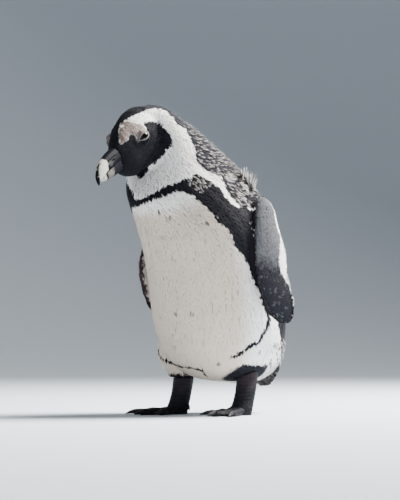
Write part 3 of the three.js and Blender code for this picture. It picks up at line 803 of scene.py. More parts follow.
# %% [markdown]
# ## One skin
# The CAD nodes of flesh are separate solids. A boolean union would keep every crease between them,
# so copies are swollen a little until they overlap, fused by a voxel remesh, and smoothed. The
# eyeballs are fused in too, and give the lids something to wrap.

# %% Fuse the nodes of flesh
def clean_copy(node, grow=0.0):
    """Points in millimetres and faces of a CAD node, merged, and swollen by so many millimetres."""
    mesh = bmesh.new()
    mesh.from_mesh(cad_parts[node].data)
    bmesh.ops.remove_doubles(mesh, verts=mesh.verts, dist=2e-6)
    bmesh.ops.triangulate(mesh, faces=mesh.faces)
    bmesh.ops.recalc_face_normals(mesh, faces=mesh.faces)
    mesh.normal_update()
    points = np.array([to_mm(v.co) + np.array(v.normal) * grow for v in mesh.verts])
    faces = np.array([[v.index for v in f.verts] for f in mesh.faces])
    mesh.free()
    return points, faces


def fused(name, shells, voxel):
    """One closed shell round several overlapping ones, from a voxel remesh. Millimetres in and out."""
    offsets = np.cumsum([0] + [len(p) for p, _ in shells[:-1]])
    points = np.vstack([p for p, _ in shells])
    faces = np.vstack([f + o for (_, f), o in zip(shells, offsets)])
    obj = mesh_from(name, to_metres(points), faces)
    bpy.context.scene.collection.objects.link(obj)
    remesh = obj.modifiers.new("remesh", "REMESH")
    remesh.mode = "VOXEL"
    remesh.voxel_size = voxel / 1000
    depsgraph = bpy.context.evaluated_depsgraph_get()
    mesh = bpy.data.meshes.new_from_object(obj.evaluated_get(depsgraph))
    bpy.data.objects.remove(obj)
    return bpy.data.objects.new(name, mesh)


def edges_of(mesh):
    """The two vertex numbers of each edge."""
    pairs = np.empty(len(mesh.edges) * 2, np.int32)
    mesh.edges.foreach_get("vertices", pairs)
    return pairs.reshape(-1, 2)


def averaged(values, pairs):
    """The mean of each vertex's neighbours."""
    count = np.bincount(pairs.ravel(), minlength=len(values))
    total = np.empty_like(values)
    for k in range(values.shape[1]):
        total[:, k] = np.bincount(pairs[:, 0], values[pairs[:, 1], k], len(values))
        total[:, k] += np.bincount(pairs[:, 1], values[pairs[:, 0], k], len(values))
    return total / np.maximum(count, 1)[:, None]


PASS_IN, PASS_OUT = 0.5, 0.52


def smoothed(points, pairs, passes):
    """Smooths without shrinking: each pass in is followed by a slightly stronger pass out."""
    for _ in range(passes):
        points = points + PASS_IN * (averaged(points, pairs) - points)
        points = points - PASS_OUT * (averaged(points, pairs) - points)
    return points


def put_points(mesh, points):
    """Moves a mesh's vertices to places in millimetres."""
    mesh.vertices.foreach_set("co", to_metres(points).astype(np.float32).ravel())
    mesh.update()


def normals_of(mesh):
    """The outward direction at each vertex."""
    values = np.empty(len(mesh.vertices) * 3, np.float32)
    mesh.vertex_normals.foreach_get("vector", values)
    return values.reshape(-1, 3).astype(float)


EYE_RADIUS = 8.2
SKIN_VOXEL, SWELL = 2.0, 0.4


def eye_centre(side):
    """The middle of an eyeball in millimetres."""
    return in_head(-3.0, side * 18.2, -3.0)


def ball(centre, radius):
    """Points in millimetres and faces of a ball."""
    mesh = bmesh.new()
    bmesh.ops.create_icosphere(mesh, subdivisions=4, radius=radius)
    points = np.array([v.co for v in mesh.verts]) + centre
    faces = np.array([[v.index for v in f.verts] for f in mesh.faces])
    mesh.free()
    return points, faces


body_shells = [clean_copy(node, SWELL) for node in REGIONS[:FOOT_L]]
body_shells += [ball(eye_centre(side), EYE_RADIUS) for side in (1, -1)]
skin = fused("body_shell", body_shells, SKIN_VOXEL)
skin_pairs = edges_of(skin.data)
skin_points = smoothed(to_mm(points_of(skin)), skin_pairs, 14)
put_points(skin.data, skin_points)
print(len(skin_points), "points in the fused skin")

# %% [markdown]
# ## The depth of the coat
# The skin sinks by the depth of the coat, so the feathers can fill the space out to the outline of
# the CAD model. Each point of the skin belongs to the nearest CAD node, and the depth is softened
# across the borders, so the skin has no steps where one region meets the next.

# %% Sink the skin by the coat's depth
flesh_points, flesh_faces, flesh_region = [], [], []
for number, node in enumerate(REGIONS):
    p, f = clean_copy(node)
    flesh_faces += (f + sum(len(q) for q in flesh_points)).tolist()
    flesh_region += [number] * len(f)
    flesh_points.append(p)
flesh_tree = BVHTree.FromPolygons(np.vstack(flesh_points).tolist(), flesh_faces)
flesh_region = np.array(flesh_region)


def region_at(points):
    """The number of the CAD node nearest to each point."""
    return flesh_region[[flesh_tree.find_nearest(p)[2] for p in points.tolist()]]


# In millimetres, for each region in turn.
COAT_DEPTH = np.array([2.3, 2.0, 1.1, 0.9, 0.9, 1.4, 1.8, 1.8, 0, 0])
# The most that any point sinks.
DEEPEST = 2.8
# Half the almond opening of the lids, in degrees seen from the eye's centre.
OPEN_UP, OPEN_DOWN, OPEN_ALONG = 25, 17, 54


def eye_angles(points, side):
    """Degrees along and across an eye's opening, distance from its centre, and degrees past its rim."""
    away_from = points - eye_centre(side)
    distance = np.linalg.norm(away_from, axis=1)
    unit = away_from / np.maximum(distance, 1e-6)[:, None]

    def as_head(f, l, u):
        return f * FORWARD + side * l * LEFT + u * UP

    axis = as_head(0.43, 0.84, 0.33)
    axis /= np.linalg.norm(axis)
    long = as_head(0.98, 0.18, 0.09) - as_head(-0.61, 0.64, 0.46)
    long -= axis * (long @ axis)
    long /= np.linalg.norm(long)
    across = np.cross(axis, long)
    x = np.degrees(np.arctan2(unit @ long, unit @ axis))
    y = np.degrees(np.arcsin(np.clip(unit @ across, -1, 1)))
    half = np.where(side * y > 0, OPEN_UP, OPEN_DOWN) * (1 - (x / (OPEN_ALONG + 2)) ** 2)
    outside = np.where(np.abs(x) < OPEN_ALONG - 2, np.abs(y) - half, np.hypot(np.abs(x) - OPEN_ALONG, y))
    return x, y, distance, outside


skin_region = region_at(skin_points)
_, skin_bare = paint(skin_points, skin_region)
depth = COAT_DEPTH[skin_region] * (1 - 0.9 * skin_bare) + SWELL
for side in (1, -1):
    _, _, distance, outside = eye_angles(skin_points, side)
    depth *= ramp(outside, 6, 24) + (distance > EYE_RADIUS + 7)
depth = np.minimum(depth, DEEPEST)[:, None]
for _ in range(5):
    depth = 0.5 * depth + 0.5 * averaged(depth, skin_pairs)
skin_points = skin_points - normals_of(skin.data) * depth
put_points(skin.data, skin_points)
print("coat depth from", depth.min().round(2), "to", depth.max().round(2), "mm")

# %% [markdown]
# ## Lids and bare skin
# Round each eye the mesh is made finer, and the lids are modelled as a rim that wraps the eyeball:
# inside the almond opening the skin passes behind the ball, and outside it a ridge and a fold follow.
# A texture could fake this, but the wet eye needs a real edge to sit behind. The bare patch above
# the eye is creased at the same time.

# %% Model the lids
head_mesh = bmesh.new()
head_mesh.from_mesh(skin.data)
for reach in (26, 15):
    centres = [Vector(to_metres(eye_centre(side))) for side in (1, -1)]
    near = [f for f in head_mesh.faces
            if min((f.calc_center_median() - c).length for c in centres) < reach / 1000]
    bmesh.ops.subdivide_edges(
        head_mesh, edges=list({e for f in near for e in f.edges}), cuts=1, use_grid_fill=True,
    )
bmesh.ops.triangulate(head_mesh, faces=head_mesh.faces)
head_mesh.to_mesh(skin.data)
head_mesh.free()
skin_points = to_mm(points_of(skin))
skin_pairs = edges_of(skin.data)
fine = np.min([np.linalg.norm(skin_points - eye_centre(side), axis=1) for side in (1, -1)], axis=0) < 27
soft = smoothed(skin_points, skin_pairs, 4)
skin_points = np.where(fine[:, None], soft, skin_points)
put_points(skin.data, skin_points)

# The height of the lid over the eyeball, as degrees past the rim and millimetres.
LID_PROFILE = np.array([
    (-90, -2.2), (-4, -1.8), (-1.5, -0.5), (0.5, 0.75), (4, 1.15), (8, 0.95), (11.5, 0.5), (15, 0.75),
    (22, 0.9),
])
for side in (1, -1):
    _, _, distance, outside = eye_angles(skin_points, side)
    wanted = EYE_RADIUS + read_off(outside, LID_PROFILE)
    w = (1 - ramp(outside, 13, 27)) * (distance < EYE_RADIUS + 6)
    unit = (skin_points - eye_centre(side)) / np.maximum(distance, 1e-6)[:, None]
    moved = distance + (wanted - distance) * w
    moved = np.where(outside > 5, np.maximum(moved, EYE_RADIUS + 0.5), moved)
    skin_points = skin_points + unit * (moved - distance)[:, None]
put_points(skin.data, skin_points)
skin_region = region_at(skin_points)
outer_depth = np.where(skin_region == CROWN, 0.6, COAT_DEPTH[skin_region])[:, None]
skin_colour, skin_bare = paint(skin_points + normals_of(skin.data) * outer_depth, skin_region)
creases = wobble(skin_points, 2.4, 41) * 0.14 + np.abs(wobble(skin_points, 3.6, 42)) * -0.16
skin_points = skin_points + normals_of(skin.data) * (creases * ramp(skin_bare, 0.3, 0.9))[:, None]
put_points(skin.data, skin_points)
lid = np.zeros(len(skin_points))
for side in (1, -1):
    _, y, distance, outside = eye_angles(skin_points, side)
    rim = ramp(outside, -3, -0.5) * (1 - ramp(outside, 4, 7)) * (distance < EYE_RADIUS + 3)
    rim *= 0.3 + 0.7 * ramp(side * y, -6, 6)
    inner = (1 - ramp(outside, -3, -0.5)) * (distance < EYE_RADIUS + 3)
    skin_colour = mixed(mixed(skin_colour, LID, rim), LID_LINING, inner)
    lid = np.maximum(lid, (outside < 10) * (distance < EYE_RADIUS + 4))
print(int(fine.sum()), "points near the eyes")

# %% [markdown]
# ## The feet
# The feet have no feathers. They are fused more finely than the body, creased across each toe, and
# added to the skin object with a scaly finish of their own. Their shanks end inside the thighs.

# %% Add the feet to the skin
FEET_VOXEL, CREASE_GAP = 1.15, 3.4
SHANK_LEFT, SHANK_RIGHT = (35.5, 6), (-46, -8)
SOLE_HEIGHT = 0.1
feet = fused("feet", [clean_copy(node, 0.15) for node in REGIONS[FOOT_L:]], FEET_VOXEL)
feet_pairs = edges_of(feet.data)
feet_points = smoothed(to_mm(points_of(feet)), feet_pairs, 4)
put_points(feet.data, feet_points)
feet_region = region_at(feet_points)
from_shank = np.where(feet_region == FOOT_L, np.hypot(*(feet_points[:, :2] - SHANK_LEFT).T),
                      np.hypot(*(feet_points[:, :2] - SHANK_RIGHT).T))
rings = np.where(feet_points[:, 2] < 15, from_shank, feet_points[:, 2] * 0.8)
crease = -0.22 * (0.5 + 0.5 * np.cos(rings * 2 * np.pi / CREASE_GAP)) ** 3
crease += 0.12 * wobble(feet_points, 3, 43)
crease *= ramp(feet_points[:, 2], 2, 5)
feet_points = feet_points + normals_of(feet.data) * crease[:, None]
feet_points[:, 2] = np.maximum(feet_points[:, 2], SOLE_HEIGHT)
put_points(feet.data, feet_points)
feet_colour, _ = paint(feet_points, feet_region)
# The creases are darkened: painted shade in the folds of the skin.
feet_colour = feet_colour * (1 - 0.35 * ramp(-crease, 0.05, 0.2))[:, None]


def triangles(mesh):
    """The three vertex numbers of each triangle."""
    mesh.calc_loop_triangles()
    corners = np.empty(len(mesh.loop_triangles) * 3, np.int32)
    mesh.loop_triangles.foreach_get("vertices", corners)
    return corners.reshape(-1, 3)


body_faces, feet_faces = triangles(skin.data), triangles(feet.data)
whole_skin = mesh_from(
    "skin",
    to_metres(np.vstack([skin_points, feet_points])),
    np.vstack([body_faces, feet_faces + len(skin_points)]),
)
face_bare = np.maximum(skin_bare, lid)[body_faces].mean(1) > 0.5
slots = np.concatenate([face_bare.astype(np.int32), np.full(len(feet_faces), 2, np.int32)])
whole_skin.data.polygons.foreach_set("material_index", slots)
set_tint(whole_skin, np.vstack([skin_colour, feet_colour]))
shown(whole_skin, PLUMAGE, BARE_SKIN, FOOT_SKIN)
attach(whole_skin, "root")
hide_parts(*REGIONS)
skin_tree = BVHTree.FromPolygons(skin_points.tolist(), body_faces.tolist())
skin_normals = normals_of(skin.data)
for old in (skin, feet):
    bpy.data.objects.remove(old)
print(len(body_faces) + len(feet_faces), "triangles of skin")

# %% [markdown]
# ## The eyes
# Each eye is a ball behind the lids: a black pupil, a dark brown iris and a darker outer rim. A
# whole ball is simpler than a cap, and no gap can open where the lids meet it.

# %% Make the eyes
for side, name in ((1, "eye_left"), (-1, "eye_right")):
    points, faces = ball(eye_centre(side), EYE_RADIUS)
    x, y, _, _ = eye_angles(points, side)
    centre_angle = np.hypot(x, y)
    colour = mixed(plain(PUPIL, points), IRIS, ramp(centre_angle, 18, 21))
    colour = mixed(colour, IRIS_RIM, ramp(centre_angle, 33, 38))
    eye = mesh_from(name + "_ball", to_metres(points), faces)
    set_tint(eye, colour)
    shown(eye, EYE)
    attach(eye, "root")
    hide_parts(name)
print("two eyes of radius", EYE_RADIUS, "mm")

# %% [markdown]
# ## The bill
# Black horn with a pale band near the tip. Shallow ridges, the groove along the side and the
# nostril could be bump alone, but they are pushed into the mesh, so they show in its outline too.

# %% Make the bill
def horn_rag(points):
    """How far the edges of the pale band stray, in millimetres."""
    return wobble(points, 5, 51) * 0.8 + wobble(points, 2, 52) * 0.4


# Where the pale band starts and ends on the upper half, as millimetres down and forward.
BAND_START = np.array([(1, 60.5), (3, 60), (8, 61.2), (12.5, 65), (14.5, 70.6)])
BAND_END = np.array([(0, 66), (2.4, 67.8), (6, 73.5), (11, 78), (16, 79.6), (23, 79)])


def upper_colour(f, u, points):
    """Black horn, greyer round the nostril, with the band of the upper half."""
    rag = horn_rag(points)
    greyer = 0.8 * ramp(3.6 - np.hypot(f - 56, (u + 8.5) * 1.3), -1.5, 1.5)
    horn = mixed(plain(HORN_BLACK, points), HORN_GREY, greyer)
    after_start = f - read_off(-u, BAND_START)
    before_end = read_off(-u, BAND_END) + 1.2 - f
    pale = ramp(after_start + rag, -0.7, 0.7) * ramp(before_end + rag, -0.6, 0.8)
    streaks = 0.93 + 0.07 * np.sin(f * 1.7 + wobble(points, 6, 53) * 2)
    return mixed(horn, np.outer(streaks, HORN_BAND), pale)


def lower_colour(f, points):
    """Black horn that turns grey and then pale towards the tip of the lower half."""
    place = f + horn_rag(points)
    greyer = ramp(place, 52, 56) * (1 - ramp(place, 64.5, 66.5))
    horn = mixed(plain(LOWER_HORN_BLACK, points), LOWER_HORN_GREY, greyer)
    return mixed(horn, LOWER_HORN_BAND, ramp(place, 68.5, 70))


BILL_VOXEL = 0.62
for name in ("bill_upper", "bill_lower"):
    horn = fused(name + "_horn", [clean_copy(name, 0.05)], BILL_VOXEL)
    pairs = edges_of(horn.data)
    points = smoothed(to_mm(points_of(horn)), pairs, 10)
    put_points(horn.data, points)
    f, l, u, _ = head_chart(points)
    push = 0.04 * np.sin(f * 1.9) * ramp(f, 42, 48) * (1 - ramp(f, 66, 72))
    if name == "bill_upper":
        on_side = ramp(np.abs(l), 3, 5)
        groove = np.exp(-((u + 4.6 + 0.06 * (f - 45)) / 0.9) ** 2) * ramp(f, 40, 46)
        groove = groove * (1 - ramp(f, 60, 68)) * on_side
        nostril = np.exp(-((f - 50) / 2.6) ** 2 - ((u + 7.4) / 0.9) ** 2) * on_side
        push = push - 0.55 * groove - 0.9 * nostril
    points = points + normals_of(horn.data) * push[:, None]
    put_points(horn.data, points)
    colour = upper_colour(f, u, points) if name == "bill_upper" else lower_colour(f, points)
    # The groove and the nostril are darkened where they are pushed in: painted shade in the hollows.
    colour = colour * (1 - 0.5 * ramp(-push, 0.2, 0.7))[:, None]
    set_tint(horn, colour)
    horn.data.shade_smooth()
    shown(horn, HORN)
    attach(horn, "root")
    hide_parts(name)
    print(name, len(points), "points")

# %% [markdown]
# ## The claws
# The four claws of each foot are one piece. They could be part of the skin, but a claw is hard horn:
# a finer voxel keeps its point, and it has a finish of its own.

# %% Make the claws
CLAW_VOXEL = 0.45
for side_name in ("right", "left"):
    nodes = [f"claw_{toe}_{side_name}" for toe in ("inner", "middle", "outer", "hind")]
    claw = fused("claws_" + side_name, [clean_copy(node) for node in nodes], CLAW_VOXEL)
    points = smoothed(to_mm(points_of(claw)), edges_of(claw.data), 8)
    put_points(claw.data, points)
    set_tint(claw, np.outer(0.85 + 0.15 * wobble(points, 4, 61), CLAW_BLACK))
    claw.data.shade_smooth()
    shown(claw, CLAW)
    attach(claw, "root")
    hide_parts(*nodes)
    print(claw.name, len(points), "points")

# %% [markdown]
# ## Where each feather grows
# Roots are scattered over the skin with a least distance between them, which is smaller on the face
# and flippers than on the belly. A seeded generator makes the scatter the same on every run.

# %% Scatter the roots
corner_points = skin_points[body_faces]
face_area = np.linalg.norm(np.cross(corner_points[:, 1] - corner_points[:, 0],
                                    corner_points[:, 2] - corner_points[:, 0]), axis=1) / 2
face_region = region_at(corner_points.mean(1))

# The least distance between roots in millimetres, for each region in turn, and how much closer
# they stand on the face.
SPACING = np.array([1.7, 1.45, 1.12, 1.4, 1.4, 1.9, 1.7, 1.7])
FACE_CLOSER = 0.22
TRIES_PER_CELL = 4.5
NEIGHBOURS = list(itertools.product((-1, 0, 1), repeat=3))


def spacing_at(points, region):
    """The least distance between roots at some places, in millimetres."""
    f = (points - HEAD) @ FORWARD
    face = ramp(f, -14, 8) * (region == CROWN)
    return SPACING[region] - face * FACE_CLOSER


def scattered(wanted_region, least, seed):
    """Roots, normals and regions on the faces of some regions, no two closer than the spacing."""
    rng = np.random.default_rng(seed)
    ours = np.flatnonzero(np.isin(face_region, wanted_region) & ~face_bare)
    area = face_area[ours]
    tries = int(area.sum() / least**2 * TRIES_PER_CELL)
    chosen = ours[rng.choice(len(ours), tries, p=area / area.sum())]
    a, b = rng.random((2, tries))
    a, b = np.where(a + b > 1, 1 - a, a), np.where(a + b > 1, 1 - b, b)
    weights = np.stack([1 - a - b, a, b], 1)[:, :, None]
    points = (skin_points[body_faces[chosen]] * weights).sum(1)
    normals = (skin_normals[body_faces[chosen]] * weights).sum(1)
    normals /= np.linalg.norm(normals, axis=1)[:, None]
    space = spacing_at(points, face_region[chosen])
    cell = space.max()
    keys = np.floor(points / cell).astype(int).tolist()
    places, gaps = points.tolist(), space.tolist()
    grid, kept = {}, []
    for i in range(tries):
        kx, ky, kz = keys[i]
        px, py, pz = places[i]
        gap = gaps[i] ** 2
        rivals = (q for dx, dy, dz in NEIGHBOURS for q in grid.get((kx + dx, ky + dy, kz + dz), ()))
        if not any((px - qx) ** 2 + (py - qy) ** 2 + (pz - qz) ** 2 < gap for qx, qy, qz in rivals):
            grid.setdefault((kx, ky, kz), []).append((px, py, pz))
            kept.append(i)
    kept = np.array(kept)
    return points[kept], normals[kept], face_region[chosen][kept]


# Regions that are scattered together, the spacing that sets how many roots are tried, and a seed.
batches = [
    scattered([TRUNK, THIGH_L, THIGH_R], 1.7, 1),
    scattered([NECK], 1.45, 2),
    scattered([CROWN], 0.95, 3),
    scattered([FLIPPER_L, FLIPPER_R], 1.4, 4),
    scattered([TAIL], 1.9, 5),
]
roots, root_normals = (np.vstack([b[k] for b in batches]) for k in (0, 1))
root_region = np.concatenate([b[2] for b in batches])
print(len(roots), "roots:", np.bincount(root_region).tolist())

# %% [markdown]
# ## The lie of the coat
# Feathers point away from the bill: back over the head, down the neck and body towards the tail,
# and along each flipper to its tip. Guide curves could be combed by hand, but the charts give these
# directions everywhere at once. A small random turn keeps the rows from looking ruled.

# %% Find the lie of the coat
def laid(direction, normals):
    """The part of each direction that lies in the skin, at unit length."""
    direction = direction - normals * (direction * normals).sum(1)[:, None]
    return direction / np.maximum(np.linalg.norm(direction, axis=1), 1e-6)[:, None]


YAW_DEGREES = 7
root_t, root_phi = body_chart(roots)
lie = body_point(root_t - 0.15, root_phi) - body_point(root_t + 0.15, root_phi)
lie /= np.maximum(np.linalg.norm(lie, axis=1), 1e-6)[:, None]
under_body = ramp(1.4 - root_t, 0, 0.9)
lie = mixed(lie, np.array([0, 0.92, -0.35]), under_body)
beyond_neck = (roots - HEAD_PLANE) @ HEAD_NORMAL
root_f, root_l, _, root_theta = head_chart(roots)
outwards = 0.18 * np.sign(root_l)[:, None] * LEFT[None] * ramp(np.abs(root_l), 4, 16)[:, None]
over_head = -FORWARD[None] - outwards
over_head = over_head - 0.25 * UP[None] * ramp(np.abs(root_theta), 60, 110)[:, None]
lie = mixed(lie, over_head, ramp(beyond_neck, -12, 6) * np.isin(root_region, (NECK, CROWN)))
for region, side in ((FLIPPER_L, 1), (FLIPPER_R, -1)):
    ours = root_region == region
    _, c, _, row = flipper_chart(roots[ours], side)
    along, trailing = FLIPPER_FRAMES[side][3:5]
    lie[ours] = along[row] + trailing[row] * (0.25 + 0.2 * ramp(c, 0.4, 1))[:, None]
lie[root_region == TAIL] = [0, 0.79, -0.61]
on_thigh = np.isin(root_region, (THIGH_L, THIGH_R))
lie[on_thigh] = lie[on_thigh] * 0.4 + [0, 0.1, -0.9]
rng = np.random.default_rng(71)
lie = laid(lie, root_normals)
across = np.cross(root_normals, lie)
yaw = np.radians(rng.normal(0, YAW_DEGREES, len(roots)))[:, None]
lie = lie * np.cos(yaw) + across * np.sin(yaw)
print("mean lie on the trunk", lie[root_region == TRUNK].mean(0).round(2))

# %% [markdown]
# ## The shape of one feather
# A feather is a thin closed vane: four rows of three points and a tip, which is 22 triangles. It
# follows a curve from its root, under the skin, over a middle point, to a tip that stands off the
# skin by the depth of the coat. Its patch on the OFBake map lies where its root is on a flat
# unwrapping of the skin, laid out from the charts.

# %% Define the vanes
# Four rows of left, middle and right points, as shares of the length and the width, then the tip.
ROWS = np.array([0.0, 0.32, 0.62, 0.85])
WIDTHS = np.array([0.5, 1.0, 0.9, 0.55])
TIP, VANE_POINTS = 12, 13
VANE_FACES = []
for row in range(3):
    left, centre, right = 3 * row, 3 * row + 1, 3 * row + 2
    for a, b in ((left, centre), (centre, right), (right, left)):
        VANE_FACES += [(a, a + 3, b + 3), (a, b + 3, b)]
VANE_FACES += [(9, TIP, 10), (10, TIP, 11), (11, TIP, 9), (0, 1, 2)]
VANE_FACES = np.array(VANE_FACES)
# How far a root sits under the skin, in millimetres, and how far the middle of a vane stands up, as
# a share of half its width. The middle of its curve takes less lift and stand than the tip.
ROOT_SUNK, RIB = 0.35, 0.10
MIDDLE_LIFT, MIDDLE_STAND = 0.88, 0.35
# Along a vane: how much of the tip's colour each row takes, and how each point is shaded.
TIP_BLEND = np.array([0.0] * 3 + [0.1] * 3 + [0.55] * 3 + [1.0] * 4)[None, :, None]
SHADE = np.array([0.93] * 3 + [0.98, 0.99, 0.98] + [1.0] * 7)[None, :, None]
# The place of each point in its patch of the OFBake map, which is 0.003 wide.
PATCH_HALF = 0.0015
ALONG_PATCH = 2 * np.append(np.repeat(ROWS, 3), 1.0) - 1
VANE_PATCH = np.column_stack([[-1, 0, 1] * 4 + [0], ALONG_PATCH]) * PATCH_HALF


def unwrapped(points, region, t, phi):
    """A place on the flat unwrapping of the skin, inside the unit square.

    The body fills the left of the square. On the right are the head, the flippers and the tail,
    from the top down.
    """
    uv = np.column_stack([0.01 + 0.60 * (phi + 180) / 360, 0.01 + 0.97 * (t + 0.6) / 14.2])
    ours = region == CROWN
    f, _, _, theta = head_chart(points[ours])
    uv[ours] = np.column_stack([0.63 + 0.35 * (theta + 180) / 360, 0.67 + 0.31 * (f + 56) / 94])
    for number, side in ((FLIPPER_L, 1), (FLIPPER_R, -1)):
        ours = region == number
        s, c, h, _ = flipper_chart(points[ours], side)
        start = 0.63 if side > 0 else 0.82
        uv[ours] = np.column_stack([start + 0.04 + 0.038 * c + 0.085 * (h < 0), 0.345 + 0.29 * s / 9.2])
    ours = region == TAIL
    x, y, z = points[ours].T
    uv[ours] = np.column_stack([0.72 + 0.0030 * x, 0.02 + 0.0035 * (82 - z)])
    uv[ours, 0] += np.where((y - 80) * 0.61 + (z - 62) * 0.79 > 0, 0, 0.17)
    return np.clip(uv, 0.004, 0.996)


def settled(points):
    """The nearest places on the skin and the skin's normals there."""
    place, normal = np.empty_like(points), np.empty_like(points)
    for i, p in enumerate(points.tolist()):
        place[i], normal[i] = skin_tree.find_nearest(p)[:2]
    return place, normal


def mark_sharp(mesh):
    """Keeps the rim of every vane sharp, so its upper and under sides are shaded apart."""
    local = edges_of(mesh) % VANE_POINTS
    at_tip = local == TIP
    column = np.where(at_tip, 1, local % 3)
    rim = (column[:, 0] == column[:, 1]) & (column[:, 0] != 1) | at_tip.any(1) & (column.min(1) != 1)
    capped = (local < 3).all(1)
    tip_edge = at_tip.any(1) & ((local % 3 != 1) | at_tip).all(1)
    sharp = mesh.attributes.new("sharp_edge", "BOOLEAN", "EDGE")
    sharp.data.foreach_set("value", rim | capped | tip_edge)


def vanes(name, root, normal, direction, length, width, lift, colour, tip_colour, uv, stand=0.0):
    """One mesh of feathers. Lengths in millimetres; stand lifts the tips clear of the coat."""
    n = len(root)
    length, width, lift, stand = (np.broadcast_to(v, n)[:, None] for v in (length, width, lift, stand))
    middle, middle_normal = settled(root + direction * length * 0.5)
    tip, tip_normal = settled(root + direction * length)
    start = root - normal * ROOT_SUNK
    middle = middle + middle_normal * (lift * MIDDLE_LIFT + stand * MIDDLE_STAND)
    tip = tip + tip_normal * (lift + stand)
    s = np.concatenate([ROWS, [1.0]])[None, :, None]
    curve = (start[:, None] * 2 * (s - 0.5) * (s - 1) - middle[:, None] * 4 * s * (s - 1)
             + tip[:, None] * 2 * s * (s - 0.5))
    along = np.gradient(curve, axis=1)
    up = normal[:, None] * (1 - s) + tip_normal[:, None] * s
    side = np.cross(up, along)
    side /= np.maximum(np.linalg.norm(side, axis=2, keepdims=True), 1e-9)
    up = np.cross(along, side)
    up /= np.maximum(np.linalg.norm(up, axis=2, keepdims=True), 1e-9)
    half = width[:, :, None] * WIDTHS[None, :, None] / 2
    points = np.empty((n, VANE_POINTS, 3))
    points[:, 0:TIP:3] = curve[:, :4] - side[:, :4] * half
    points[:, 1:TIP:3] = curve[:, :4] + up[:, :4] * half * RIB
    points[:, 2:TIP:3] = curve[:, :4] + side[:, :4] * half
    points[:, TIP] = curve[:, 4]
    tints = (colour[:, None] * (1 - TIP_BLEND) + tip_colour[:, None] * TIP_BLEND) * SHADE
    faces = (VANE_FACES[None] + VANE_POINTS * np.arange(n)[:, None, None]).reshape(-1, 3)
    obj = mesh_from(name, to_metres(points.reshape(-1, 3)), faces)
    mark_sharp(obj.data)
    set_tint(obj, tints.reshape(-1, 3))
    layer = obj.data.uv_layers.new(name="OFBake")
    corner_uv = (uv[:, None] + VANE_PATCH[None]).reshape(-1, 2)[faces.ravel()]
    layer.data.foreach_set("uv", corner_uv.astype(np.float32).ravel())
    shown(obj, PLUMAGE)
    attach(obj, "root")
    return obj


print("a vane has", len(VANE_FACES), "triangles")

# %% [markdown]
# ## Sizes of the feathers
# A penguin's feathers are short and dense. They are smallest on the flippers and face and longest on
# the trunk and tail, so length, width and lift come from the region, with a little chance in each.

# %% Size the feathers
# Length, width and lift in millimetres, for each region in turn.
SIZES = np.array([
    [8.8, 2.7, 2.0], [7.4, 2.2, 1.75], [4.6, 1.5, 0.95], [4.2, 2.1, 0.75], [4.2, 2.1, 0.75],
    [9.0, 3.0, 1.2], [8.0, 2.7, 1.5], [8.0, 2.7, 1.5],
])
FACE_SMALLER = (1.5, 0.35, 0.3)
BELLY_WIDTH = 3.3
NAPE_LENGTH, NAPE_WIDTH = 5.4, 2.0
SHOWN_PART = 0.8

rng = np.random.default_rng(72)
many = len(roots)
length, width, lift = SIZES[root_region].T.copy()
face = ramp(root_f, -14, 10) * (root_region == CROWN)
length, width, lift = (v - less * face for v, less in zip((length, width, lift), FACE_SMALLER))
length = length * rng.uniform(0.85, 1.15, many)
side_phi = np.abs(root_phi)
on_body = np.isin(root_region, (TRUNK, NECK))
width = np.where((root_region == TRUNK) & (side_phi < 80), BELLY_WIDTH, width)
nape_like = on_body & (root_t > 8 + rng.uniform(-1.2, 0.8, many)) & (side_phi > 85)
length, width = np.where(nape_like, NAPE_LENGTH, length), np.where(nape_like, NAPE_WIDTH, width)
lift = lift * np.where(nape_like, rng.uniform(0.75, 1.15, many), rng.uniform(0.93, 1.04, many))
print("lengths from", length.min().round(1), "to", length.max().round(1), "mm")

# %% [markdown]
# ## The moult
# Old brownish grey tips stand among the new black feathers, thickest on the nape and in three pale
# clumps. Each dark feather gets a pale tip by chance, and the chance depends on where it grows.

# %% Colour the feathers
# Pale tips on the nape, as section and chance. Elsewhere: from and to section, from and to angle,
# and chance.
NAPE_CHANCE = np.array([(5.5, 0.0), (7.6, 0.03), (8.1, 0.30), (9.4, 0.46), (10.8, 0.30), (11.6, 0.05)])
OTHER_CHANCES = [(9.4, 10.15, 58, 82, 0.5), (6.5, 7.5, 78, 88, 0.4), (7, 9.2, 50, 60, 0.04)]
# How ruffled the nape is, as section and share.
RUFFLED = np.array([(7.8, 0), (8.6, 1), (10.4, 1), (11.4, 0)])
# Each clump of pale feathers: section, angle and radius in millimetres.
CLUMPS = [(9.01, 102, 6.5), (8.43, 108.6, 6), (8.3, 92.3, 5)]
# Feathers are dark below one brightness, and bright above another.
DARK, BRIGHT = 0.12, 0.6

seen_at, seen_normal = settled(roots + lie * (length * SHOWN_PART)[:, None])
visible = seen_at + seen_normal * COAT_DEPTH[root_region][:, None]
feather_colour, feather_bare = paint(visible, root_region)
feather_colour = feather_colour * rng.uniform(0.96, 1.03, many)[:, None]
brightness = feather_colour.mean(1)
dark = brightness < DARK
edge_phi = read_off(root_t, BACK_EDGE)
on_nape = on_body & (side_phi > edge_phi + 2) & (root_t < 12.7)
chance = np.where(on_nape, read_off(root_t, NAPE_CHANCE), 0)
for t_from, t_to, phi_from, phi_to, likely in OTHER_CHANCES:
    between_t = (root_t > t_from) & (root_t < t_to)
    between_phi = (side_phi > phi_from) & (side_phi < phi_to)
    chance = np.where(~on_nape & between_t & between_phi, likely, chance)
pale = dark & (rng.random(many) < chance) & (root_region < CROWN)
tip_colour = feather_colour * np.where(dark, 1.3, 1.0)[:, None] + np.where(dark, 0.002, 0)[:, None]
warm = rng.random(many)[:, None] ** 2
pale_colour = (PALE_TIP_AND_HIGHLIGHT * (1 - warm) + WARM_TIP * warm) * rng.uniform(0.35, 1.3, many)[:, None]
tip_colour = np.where(pale[:, None], pale_colour, tip_colour)
